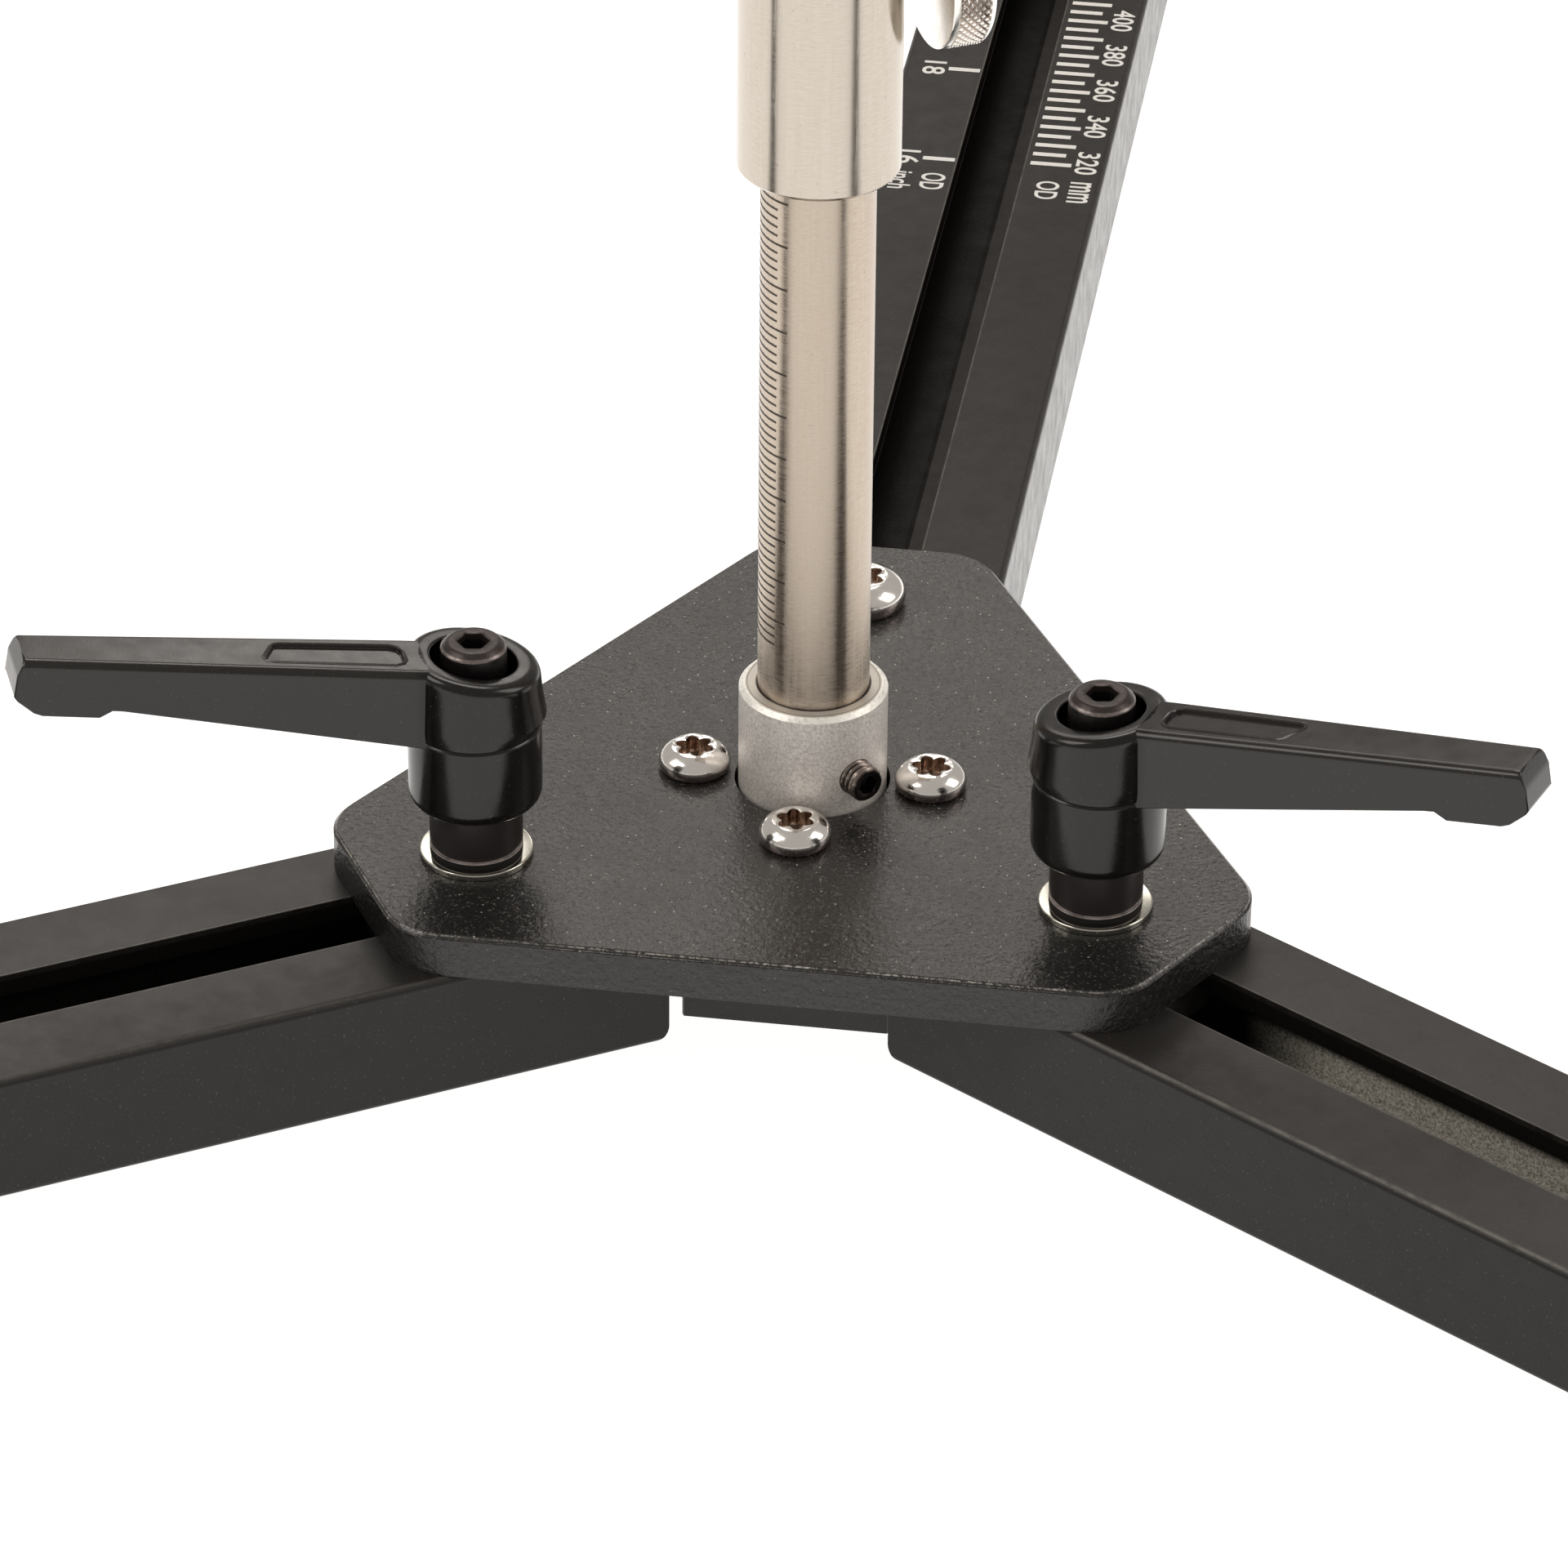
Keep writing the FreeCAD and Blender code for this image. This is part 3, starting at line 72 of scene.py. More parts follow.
# the levers' azimuths
HANDLES = {"left": -157.6, "right": -18.8}

PLATE_SCREW_REACH = 12.85
BACK_SCREW_REACH = 37.4
SET_SCREW_HEIGHT = 28.7
SLEEVE_SCREW_HEIGHT = 118.7
SLEEVE_SCREW_AZIMUTH = 28.5
SUPPORT_REACH = 280.0
CLAMP_REACH = SUPPORT_REACH + 24.0
ROD_REACH = SUPPORT_REACH + 7.0
LOCK_HEIGHT = ARM_TOP + 22.0
CAP_SEAT = 22.1  # the lever screw's seat above the plate


def spot(x, y, z, azimuth=0.0, lying=False):
    """Where a piece's own frame stands; lying turns its own Z outwards along the azimuth."""
    turn = Matrix.Rotation(math.radians(azimuth), 4, "Z")
    if lying:
        turn = turn @ Matrix.Rotation(math.radians(90), 4, "Y")
    return Matrix.Translation(Vector((x, y, z)) * M) @ turn


def on_arm(side, reach):
    """The point of an arm's middle line at a distance from the post's axis."""
    x, y, azimuth, distance = ARMS[side]
    turn = math.radians(azimuth)
    along = reach - distance
    return x + math.cos(turn) * along, y + math.sin(turn) * along


# -------------------------------- material kit


class Paint:
    """A Principled material and short names for the nodes that feed it."""

    def __init__(self, name, metallic=0.0, **sockets):
        self.material = bpy.data.materials.new(name)
        self.material.use_nodes = True
        self.tree = self.material.node_tree
        self.shader = self.tree.nodes["Principled BSDF"]
        self.put("Metallic", metallic)
        for key, value in sockets.items():
            self.put(key.replace("_", " "), value)
        self.coords = self.node("TexCoord").outputs["Object"]

    def node(self, kind, **settings):
        made = self.tree.nodes.new("ShaderNode" + kind)
        for key, value in settings.items():
            setattr(made, key, value)
        return made

    def feed(self, socket, value):
        if isinstance(value, bpy.types.NodeSocket):
            self.tree.links.new(value, socket)
        else:
            socket.default_value = value

    def put(self, socket, value):
        """Sets or links one of the shader's own sockets."""
        self.feed(self.shader.inputs[socket], value)

    def math(self, operation, *values):
        made = self.node("Math", operation=operation)
        for socket, value in zip(made.inputs, values):
            self.feed(socket, value)
        return made.outputs[0]

    def times(self, product, *factors):
        for factor in factors:
            product = self.math("MULTIPLY", product, factor)
        return product

    def turned(self, azimuth=0.0, stretch=(1, 1, 1)):
        """The coordinates turned about Z and stretched."""
        made = self.node("Mapping")
        made.inputs["Rotation"].default_value = (0, 0, -math.radians(azimuth))
        made.inputs["Scale"].default_value = stretch
        self.feed(made.inputs["Vector"], self.coords)
        return made.outputs[0]

    def noise(self, size, detail=2.0, rough=0.5, vector=None):
        """Noise whose lumps are about this many millimetres across."""
        made = self.node("TexNoise")
        self.feed(made.inputs["Vector"], vector or self.coords)
        made.inputs["Scale"].default_value = 1000.0 / size
        made.inputs["Detail"].default_value = detail
        made.inputs["Roughness"].default_value = rough
        return made.outputs["Fac"]

    def cells(self, size):
        """Distance to the middle of cells that are about this many millimetres across."""
        made = self.node("TexVoronoi")
        self.feed(made.inputs["Vector"], self.coords)
        made.inputs["Scale"].default_value = 1000.0 / size
        return made.outputs["Distance"]

    def between(self, value, low, high, to_low=0.0, to_high=1.0):
        """The value mapped from one range to another, held at the ends."""
        made = self.node("MapRange")
        self.feed(made.inputs["Value"], value)
        ends = {"From Min": low, "From Max": high, "To Min": to_low, "To Max": to_high}
        for key, number in ends.items():
            made.inputs[key].default_value = number
        return made.outputs["Result"]

    def past(self, measure, low, high, to_low=0.0, to_high=1.0):
        """The same for a measure, whose range is given in millimetres."""
        return self.between(measure, low * M, high * M, to_low, to_high)

    def band(self, measure, low, high, soft=0.05):
        """1 between two measures in millimetres, 0 outside, with soft edges."""
        up = self.past(measure, low - soft, low + soft)
        down = self.past(measure, high - soft, high + soft, 1.0, 0.0)
        return self.times(up, down)

    def uneven(self, size, low, high, detail=4.0, rough=0.5, start=0.3):
        """A number that wanders from low to high in lumps of this many millimetres."""
        return self.between(self.noise(size, detail, rough), start, 0.7, low, high)

    def axis(self, index, vector=None):
        made = self.node("SeparateXYZ")
        self.feed(made.inputs[0], vector or self.coords)
        return made.outputs[index]

    def height(self):
        return self.axis(2)

    def reach(self):
        """Distance from the object's own Z axis."""
        flat = self.node("VectorMath", operation="MULTIPLY")
        self.feed(flat.inputs[0], self.coords)
        flat.inputs[1].default_value = (1, 1, 0)
        length = self.node("VectorMath", operation="LENGTH")
        self.feed(length.inputs[0], flat.outputs[0])
        return length.outputs["Value"]

    def blend(self, factor, one, other):
        made = self.node("Mix", data_type="RGBA")
        self.feed(made.inputs[0], factor)
        for socket, value in ((made.inputs[6], one), (made.inputs[7], other)):
            linked = isinstance(value, bpy.types.NodeSocket)
            self.feed(socket, value if linked else (*value, 1.0))
        return made.outputs[2]

    def coats(self, base, *coats):
        """Lays coats, each a factor and a colour, over a base one after the other."""
        for factor, colour in coats:
            base = self.blend(factor, base, colour)
        return base

    def bump(self, height, depth):
        """Adds relief of this many millimetres on top of what is there."""
        made = self.node("Bump")
        made.inputs["Distance"].default_value = depth * M
        self.feed(made.inputs["Height"], height)
        normal = self.shader.inputs["Normal"]
        if normal.is_linked:
            self.feed(made.inputs["Normal"], normal.links[0].from_socket)
        self.feed(normal, made.outputs[0])


def shade(tone, *shares):
    """A colour whose channels are shares of one tone."""
    return tuple(tone * share for share in shares)


# -------------------------------- materials

DUST = (0.12, 0.112, 0.1)


def powder_coat():
    """Fine textured black powder coat, worn to a thin pale broken line on the plate's top edge."""
    p = Paint("plate_powder_coat", Specular_IOR_Level=0.47)
    flank = p.band(p.height(), ARM_TOP - 1, PLATE_TOP - 0.45, 0.1)
    grain = p.between(p.noise(0.5, 3.0, 0.7), 0.38, 0.62, 0.0, 0.55)
    specks = p.between(p.noise(0.36, 1.0), 0.63, 0.69)
    specks = p.times(specks, p.between(flank, 0.0, 1.0, 1.0, 0.3))
    pits = p.between(p.noise(0.42, 1.0, vector=p.turned(37.0)), 0.62, 0.69)
    sparkle = p.between(p.cells(1.3), 0.06, 0.1, 0.6, 0.0)
    sparkle = p.times(sparkle, p.between(flank, 0.0, 1.0, 1.0, 0.2))
    edge = p.band(p.height(), PLATE_TOP - 0.2, PLATE_TOP - 0.08, 0.03)
    patches = p.between(p.noise(0.45, 4.0, 0.7), 0.44, 0.56, 0.05, 1.0)
    patches = p.times(patches, p.between(p.noise(7.0, 3.0), 0.35, 0.6, 0.3, 1.0))
    colour = p.coats(
        p.blend(p.noise(28.0, 3.0), (0.0108, 0.0106, 0.01), (0.015, 0.0146, 0.0138)),
        (grain, (0.028, 0.0266, 0.0252)),
        (p.times(flank, 0.45), (0.008, 0.0073, 0.007)),
        (p.times(specks, 0.3), (0.22, 0.205, 0.187)),
        (p.times(pits, 0.5), (0.004, 0.0036, 0.0034)),
        (sparkle, (0.6, 0.58, 0.54)),
        (p.times(edge, patches), (0.38, 0.36, 0.33)),
    )
    p.put("Base Color", colour)
    p.put("Roughness", p.uneven(6.0, 0.21, 0.28))
    p.bump(p.noise(0.6, 2.0), 0.065)
    p.bump(p.noise(1.3, 2.0), 0.05)
    p.bump(p.math("SUBTRACT", specks, pits), 0.015)
    p.bump(p.times(p.noise(0.9, 4.0, 0.65), flank), 0.3)
    return p.material


def extruded(name, tone, azimuth=0.0):
    """Black anodised extrusion with drawing lines along it: its paint, colour and roughness."""
    p = Paint(name, Specular_IOR_Level=0.36)
    lines = p.noise(0.35, 3.0, 0.6, p.turned(azimuth, (0.02, 1, 1)))
    low, high = shade(tone, 0.85, 0.78, 0.72), shade(tone, 1.2, 1.1, 1.02)
    dust = p.between(p.noise(0.28, 1.0), 0.68, 0.76)
    colour = p.blend(p.times(dust, 0.35), p.blend(p.noise(40.0, 3.0), low, high), DUST)
    p.bump(lines, 0.01)
    p.bump(p.noise(0.25, 2.0), 0.014)
    return p, colour, p.uneven(3.0, 0.36, 0.48, rough=0.6)


def anodised(name, tone):
    p, colour, rough = extruded(name, tone)
    p.put("Base Color", colour)
    p.put("Roughness", rough)
    return p.material


def arm_anodised(side, tone, gloss, flank_dull, flank_smooth, edge_highlight_strength, bed):
    """An arm's coat, with painted highlights along its edges and painted shade in the slot.

    flank_dull is the share of the gloss and flank_smooth the roughness that the outer sides lose.
    edge_highlight_strength is how strong the painted highlight along the outer top edges is. bed is
    the painted light and shade of the slot's floor and of its walls' feet: two colours and how
    metallic they are."""
    x, y, azimuth, _ = ARMS[side]
    turn = math.radians(azimuth)
    middle = (y * math.cos(turn) - x * math.sin(turn)) * M
    pivot = x * math.cos(turn) + y * math.sin(turn)
    p, colour, rough = extruded(f"{side}_arm_black_anodised", tone, azimuth)
    along_arm = p.turned(azimuth)
    offset = p.math("SUBTRACT", p.axis(1, along_arm), middle)
    across = p.math("ABSOLUTE", offset)
    # painted shadow of the plate: the floor's paint starts only some way out from the plate
    clear_of_plate_shadow = p.past(p.axis(0, along_arm), pivot + 15.0, pivot + 26.0)
    height = p.height()
    flank = p.past(across, ARM_HALF - 0.13, ARM_HALF - 0.03)
    deepest = SLOT_FLOOR - 0.6
    cavity = p.band(height, deepest, LIP_UNDER + 0.1)
    cavity = p.times(p.band(across, -1.0, SLOT_HALF + 0.1), cavity)
    mouth = p.times(p.band(across, -1.0, MOUTH_HALF + 0.07), p.band(height, deepest, ARM_TOP - 0.1))
    inside = p.math("MAXIMUM", cavity, mouth)
    top = p.past(height, ARM_TOP - 0.8, ARM_TOP - 0.6)
    # noise that breaks the painted highlight lines below into patches
    wear_and_highlight_breakup = p.between(p.noise(1.6, 5.0, 0.7), 0.35, 0.6, 0.35, 1.0)
    # painted shade in a fine groove along the outer sides just under the top edge
    crease_shade = p.times(flank, p.band(height, ARM_TOP - 0.85, ARM_TOP - 0.5), 0.8)
    # painted highlight along the outer top edges, strongest on the right arm
    edge_highlight = p.times(p.band(across, ARM_HALF - 0.53, ARM_HALF - 0.25), top, p.times(wear_and_highlight_breakup, edge_highlight_strength))
    # painted highlight along the slot's top edges
    lip = p.times(p.band(across, MOUTH_HALF - 0.01, MOUTH_HALF + 0.19, 0.04), top, wear_and_highlight_breakup)
    low, high, metallic = bed
    # painted light and shade on the slot's floor and the feet of its walls, taken from bed
    floor = p.times(cavity, clear_of_plate_shadow, p.band(height, deepest, SLOT_FLOOR + 3.4, 0.5))
    speckle = p.between(p.noise(0.32, 3.0, 0.7), 0.36, 0.62)
    colour = p.coats(
        colour,
        (crease_shade, (0.003, 0.0027, 0.0025)),
        (edge_highlight, (0.13, 0.122, 0.11)),
        (lip, (0.075, 0.07, 0.062)),
        # painted shade: the slot's walls and mouth darkened nearly to black
        (p.times(inside, 0.7), (0.002, 0.0018, 0.0016)),
        (floor, p.blend(speckle, low, high)),
    )
    if side == "back":
        # painted light and shade on the floor: a lit strip standing for a thin ledge, a dark line
        # of painted shade beside it, and painted highlights on the lips' lower edges
        deep = p.band(height, deepest, SLOT_FLOOR + 0.6)
        foot = p.band(height, LIP_UNDER - 0.1, LIP_UNDER + 0.35)
        foot = p.times(p.band(across, MOUTH_HALF - 0.15, MOUTH_HALF + 0.15), foot)
        colour = p.coats(
            colour,
            (p.times(p.band(offset, -2.7, -0.7), deep), (0.034, 0.031, 0.029)),
            (p.times(p.band(offset, -0.7, -0.16), deep), (0.0004, 0.0004, 0.0004)),
            (foot, (0.05, 0.045, 0.043)),
        )
    p.put("Base Color", colour)
    p.put("Metallic", p.times(floor, metallic))
    lip_face = p.times(mouth, p.band(height, LIP_UNDER - 0.1, ARM_TOP - 0.1), 0.97)
    dull = p.math("MAXIMUM", p.times(inside, 0.8), lip_face)
    dull = p.math("ADD", p.times(flank, flank_dull), dull)
    p.put("Specular IOR Level", p.times(p.math("SUBTRACT", 1.0, dull), gloss))
    p.put("Roughness", p.math("SUBTRACT", rough, p.times(flank, flank_smooth)))
    return p.material


def ground_steel(name, tone, rough, anisotropic, depth=1.0):
    """Bar ground round its girth: reflections spread up and down it, with scratches along it."""
    p = Paint(name, metallic=1.0, Anisotropic=anisotropic, Anisotropic_Rotation=0.25)
    p.put("Tangent", p.node("Tangent", direction_type="RADIAL", axis="Z").outputs[0])
    grind = p.noise(0.14, 3.0, 0.65, p.turned(0.0, (0.12, 0.12, 1.0)))
    scratch = p.noise(0.5, 4.0, 0.7, p.turned(0.0, (1.0, 1.0, 0.04)))
    mottle = p.math("ADD", p.times(grind, 0.65), p.times(scratch, 0.35))
    low = tuple(c * (1 - depth * share) for c, share in zip(tone, (0.2, 0.24, 0.28)))
    colour = p.blend(p.between(mottle, 0.38, 0.62), low, tone)
    spots = p.between(p.noise(0.45, 2.0), 0.7, 0.76)
    p.put("Base Color", p.blend(p.times(spots, 0.35), colour, (0.2, 0.15, 0.11)))
    p.put("Roughness", p.between(mottle, 0.35, 0.65, *rough))
    p.bump(grind, 0.004 * depth)
    p.bump(p.between(scratch, 0.6, 0.75), 0.003)
    return p.material


def blasted_alloy():
    """Blasted silver alloy; the top is turned, with a bright outer band and a dark line."""
    p = Paint("collar_blasted_alloy", metallic=0.4)
    grain = p.noise(0.3, 4.0, 0.75)
    reach = p.reach()
    turned = p.past(p.height(), COLLAR_TOP - 0.6, COLLAR_TOP - 0.48)
    patches = p.between(p.noise(0.5, 4.0, 0.7), 0.32, 0.52, 0.3, 1.0)
    ring = p.coats(
        p.blend(p.noise(0.8, 3.0), (0.5, 0.47, 0.42), (0.6, 0.57, 0.52)),
        (p.times(p.past(reach, 7.26, 7.36), patches), (0.9, 0.89, 0.84)),
        (p.times(p.band(reach, 7.05, 7.17, 0.03), 0.8), (0.16, 0.14, 0.12)),
        (p.band(reach, 5.9, 6.2, 0.04), (0.05, 0.04, 0.035)),
    )
    side = p.blend(p.between(grain, 0.34, 0.66), (0.58, 0.545, 0.51), (1.0, 0.965, 0.92))
    p.put("Base Color", p.blend(turned, side, ring))
    p.put("Roughness", p.between(turned, 0.0, 1.0, 0.4, 0.3))
    p.bump(grain, 0.05)
    return p.material


def bright_steel(name, tone=(0.62, 0.6, 0.58), rough=(0.12, 0.24), grain=0.6, relief=0.003):
    """Turned or plated bright steel with handling marks."""
    p = Paint(name, metallic=1.0)
    marks = p.noise(grain, 5.0, 0.65)
    p.put("Base Color", p.blend(p.noise(2.2, 4.0, 0.6), tuple(c * 0.85 for c in tone), tone))
    p.put("Roughness", p.between(marks, 0.35, 0.7, *rough))
    p.bump(marks, relief)
    return p.material


def screw_steel(name, recess, top):
    """Polished screw head: a brown stained recess of this radius with painted highlights on its
    ridges, and a darker rosy band under the dome painted as a reflection.
    """
    p = Paint(name, metallic=1.0)
    height, reach = p.height(), p.reach()
    inside = p.past(reach, recess, recess + 0.08, 1.0, 0.0)
    inside = p.times(inside, p.past(height, top - 0.22, top - 0.06, 1.0, 0.0))
    waist = p.past(height, top * 0.3, top * 0.5, 1.0, 0.0)
    mottle = p.noise(1.3, 4.0, 0.6)
    dome = p.blend(mottle, (0.96, 0.95, 0.92), (0.86, 0.83, 0.79))
    # painted reflection: a darker rosy band round the side under the dome
    rosy_reflection = p.blend(mottle, (0.74, 0.65, 0.63), (0.5, 0.39, 0.39))
    stain_and_ridge_glint = p.between(p.noise(0.6, 3.0), 0.35, 0.65)
    stain_and_ridge_glint = p.blend(stain_and_ridge_glint, (0.52, 0.42, 0.35), (0.24, 0.17, 0.13))
    # painted highlight on the recess's ridges
    ridge_highlight = p.past(reach, recess * 0.68, recess * 0.86, 1.0, 0.0)
    ridge_highlight = p.times(ridge_highlight, p.past(height, top * 0.2, top * 0.7))
    stain_and_ridge_glint = p.blend(ridge_highlight, stain_and_ridge_glint, (0.85, 0.78, 0.72))
    p.put("Base Color", p.blend(inside, p.blend(waist, dome, rosy_reflection), stain_and_ridge_glint))
    p.put("Roughness", p.uneven(0.7, 0.12, 0.2, rough=0.65, start=0.35))
    p.bump(p.noise(0.9, 3.0), 0.012)
    return p.material


def knurl_plate(radius, low, high):
    """Nickel plate: bright faces and crests, brown dirt in the knurl's grooves."""
    p = Paint("knurled_nickel", metallic=1.0)
    groove = p.past(p.reach(), radius - 0.2, radius - 0.04, 1.0, 0.0)
    groove = p.times(groove, p.band(p.height(), low, high, 0.04))
    grime = p.blend(p.noise(1.1, 4.0, 0.7), (0.22, 0.16, 0.12), (0.5, 0.43, 0.37))
    plate = p.blend(p.noise(2.6, 4.0, 0.6), (0.9, 0.88, 0.85), (0.78, 0.76, 0.72))
    p.put("Base Color", p.blend(groove, plate, grime))
    p.put("Roughness", p.uneven(0.8, 0.16, 0.26, rough=0.6))
    p.bump(p.noise(0.5, 3.0), 0.003)
    return p.material


def black_steel(name):
    """Blackened steel, worn to brown in spots."""
    p = Paint(name, metallic=0.7, Specular_IOR_Level=0.5)
    wear_and_highlight_breakup = p.between(p.noise(0.7, 5.0, 0.7), 0.6, 0.75)
    black = shade(0.022, 1.0, 0.88, 0.84)
    p.put("Base Color", p.blend(p.times(wear_and_highlight_breakup, 0.5), black, (0.14, 0.115, 0.1)))
    p.put("Roughness", p.uneven(0.9, 0.3, 0.5))
    p.bump(p.noise(0.35, 3.0), 0.012)
    return p.material


def set_screw_steel():
    """Blackened thread with a painted brown highlight on its crests."""
    p = Paint("set_screw_brown_black", metallic=0.85, Specular_IOR_Level=0.5)
    crest = p.past(p.reach(), 1.72, 1.96)
    # painted highlight on the thread's crests
    crest_highlight = p.blend(p.noise(0.5, 4.0), (0.2, 0.16, 0.14), (0.36, 0.31, 0.28))
    p.put("Base Color", p.blend(crest, (0.02, 0.016, 0.015), crest_highlight))
    p.put("Roughness", p.uneven(0.6, 0.2, 0.34))
    p.bump(p.noise(0.35, 3.0), 0.01)
    return p.material


def insert_steel():
    """Satin blackened insert with a dull foot darkened by painted shade and a thin painted
    highlight line above it.
    """
    p = Paint("insert_blackened_steel", Specular_IOR_Level=0.4)
    height, foot_top = p.height(), PLATE_TOP + 1.34
    # painted highlight: a thin bright line round the insert above its foot
    line = p.band(height, foot_top, PLATE_TOP + 1.5, 0.02)
    line = p.times(line, p.between(p.noise(1.5, 3.0), 0.3, 0.6, 0.4, 1.0))
    colour = p.coats(
        p.blend(p.noise(3.0, 3.0), (0.013, 0.0105, 0.0105), (0.02, 0.016, 0.016)),
        # painted shade darkening the foot
        (p.band(height, PLATE_TOP, foot_top), (0.004, 0.0032, 0.0032)),
        (line, (0.4, 0.35, 0.335)),
    )
    p.put("Base Color", colour)
    foot = p.times(p.band(height, PLATE_TOP, PLATE_TOP + 1.3), 0.85)
    p.put("Roughness", p.math("MAXIMUM", p.uneven(1.2, 0.28, 0.36), foot))
    p.bump(p.noise(0.6, 2.0), 0.002)
    return p.material


def worn_screw(head, top):
    """Blackened socket screw with a painted highlight on its chamfer and a brownish face."""
    p = Paint("cap_screw_blackened_steel", metallic=0.6, Specular_IOR_Level=0.5)
    face = p.past(p.height(), top - 0.86, top - 0.76)
    rim = p.times(face, p.past(p.reach(), head - 0.3, head - 0.16))
    # painted highlight on the chamfer
    edge_highlight = p.times(rim, p.between(p.noise(0.5, 4.0, 0.7), 0.35, 0.6, 0.35, 1.0))
    brown = p.blend(p.noise(0.7, 4.0, 0.6), (0.03, 0.024, 0.023), (0.052, 0.042, 0.04))
    colour = p.blend(face, (0.016, 0.013, 0.013), brown)
    p.put("Base Color", p.blend(edge_highlight, colour, (0.22, 0.19, 0.18)))
    p.put("Roughness", p.uneven(0.6, 0.28, 0.42))
    p.bump(p.noise(0.3, 3.0), 0.012)
    return p.material


def moulded_black(name, tone, rough, relief, hub=0.0):
    """Satin black moulding with a faint grain; painted shade makes it deeper black within the
    radius hub.
    """
    p = Paint(name, Specular_IOR_Level=0.42)
    low, high = shade(tone, 0.85, 0.78, 0.7), shade(tone, 1.25, 1.14, 1.02)
    colour = p.blend(p.noise(14.0, 3.0), low, high)
    if hub:
        # painted shade darkening the hub
        hub_shade = p.past(p.reach(), hub - 0.2, hub + 0.6, 0.75, 0.0)
        colour = p.blend(hub_shade, colour, (0.001, 0.0008, 0.0008))
    dust = p.between(p.noise(0.3, 1.0), 0.7, 0.78)
    p.put("Base Color", p.blend(p.times(dust, 0.3), colour, DUST))
    p.put("Roughness", p.uneven(2.5, *rough, detail=5.0, rough=0.6))
    p.bump(p.noise(0.3, 3.0), relief)
    return p.material


def plain(name, low, high, lumps, rough, relief, **sockets):
    """A surface of two close tones.

    lumps are the size and detail of the noise in its tone, its roughness and its relief."""
    p = Paint(name, **sockets)
    tone, satin, grain = lumps
    p.put("Base Color", p.blend(p.noise(*tone), low, high))
    p.put("Roughness", p.uneven(satin[0], *rough, detail=satin[1]))
    p.bump(p.noise(*grain), relief)
    return p.material


STEEL = (0.56, 0.492, 0.418)
BAR = (STEEL, (0.24, 0.36), 0.85)
MATT = ((0.45, 0.6), 0.03)
PAINTS = {
    "plate_coat": powder_coat(),
    "block_anodised": anodised("block_black_anodised", 0.012),
    "collar_alloy": blasted_alloy(),
    "post_steel": ground_steel("post_ground_stainless", *BAR),
    "sleeve_alloy": ground_steel(
        "sleeve_turned_alloy", (0.55, 0.505, 0.445), (0.17, 0.24), 0.75, 0.5
    ),
    "knurled_steel": bright_steel("knob_nickel_plate", (0.8, 0.78, 0.74)),
    "bright_screw": bright_steel("screw_bright_stainless"),
    "black_screw": black_steel("screw_blackened_steel"),
    "washer_steel": bright_steel(
        "washer_zinc_plate", (0.56, 0.55, 0.49), (0.08, 0.14), 1.6, 0.0006
    ),
    "lever_plastic": moulded_black("lever_satin_black", 0.012, (0.16, 0.24), 0.006, 7.4),
    "insert_steel": insert_steel(),
    "spring_steel": bright_steel("spring_wire_steel", (0.5, 0.49, 0.47), (0.25, 0.35), 0.3),
    "foot_rubber": plain(
        "foot_black_rubber",
        (0.014, 0.014, 0.014),
        (0.028, 0.027, 0.026),
        ((5.0, 4.0), (1.2, 4.0), (0.4, 3.0)),
        (0.7, 0.85),
        0.05,
        Specular_IOR_Level=0.3,
    ),
    "cap_plastic": moulded_black("cap_black_moulding", 0.018, *MATT),
    "nut_steel": bright_steel("nut_zinc_plate", (0.55, 0.55, 0.52), (0.3, 0.45), 0.8),
    "support_alloy": anodised("support_black_anodised", 0.018),
    "rod_steel": ground_steel("rod_ground_stainless", *BAR),
    "jaw_nylon": moulded_black("jaw_black_nylon", 0.02, *MATT),
}
# painted light and shade for the slots' floors: near black as painted shade, pale as painted light
SHADED_BED = ((0.006, 0.0055, 0.005), (0.016, 0.0145, 0.013), 0.0)
LIT_BED = ((0.19, 0.185, 0.16), (0.62, 0.6, 0.54), 0.0)
SHADED_SATIN_BED = ((0.004, 0.0037, 0.0035), (0.012, 0.011, 0.01), 0.5)
# tone, gloss, flank_dull, flank_smooth, edge_highlight_strength and bed of arm_anodised
ARM_PAINTS = {
    "back": arm_anodised("back", 0.013, 0.22, -0.36, 0.2, 0.2, SHADED_SATIN_BED),
    "left": arm_anodised("left", 0.016, 0.42, 0.45, 0.0, 0.25, SHADED_BED),
    "right": arm_anodised("right", 0.017, 0.34, 0.45, 0.0, 0.9, LIT_BED),
}
SET_SCREW_STEEL = set_screw_steel()
PRINT_WHITE = plain(
    "print_white",
    (0.62, 0.62, 0.6),
    (0.78, 0.78, 0.76),
    ((0.5, 3.0), (0.4, 2.0), (0.3, 2.0)),
    (0.5, 0.65),
    0.008,
    Specular_IOR_Level=0.35,
)
ETCHED = plain(
    "etched_graduation",
    (0.035, 0.028, 0.022),
    (0.075, 0.06, 0.048),
    ((0.6, 3.0), (0.4, 2.0), (0.2, 2.0)),
    (0.45, 0.6),
    0.006,
    metallic=0.3,
    Specular_IOR_Level=0.3,
)


def wear_paint(obj, material):
    """Gives an object one material on every face."""
    obj.data.materials.clear()
    obj.data.materials.append(material)
    for face in obj.data.polygons:
        face.material_index = 0


for part in frame["record"]["subparts"]:
    name, slot = part["node"], part["material_slot"]
    wear_paint(nodes[name], PAINTS.get(slot) or ARM_PAINTS[name.split("_")[0]])

# each lever's spring gets a mesh of its own; the real spring closes up under its screw's head as
# the handle lifts
for side in HANDLES:
    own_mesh(nodes[f"{side}_lever_spring"])

# -------------------------------- studio, in metres

LIGHT_AIM = Vector((0, 0, 0.05))
WARM = (1.0, 0.94, 0.88)
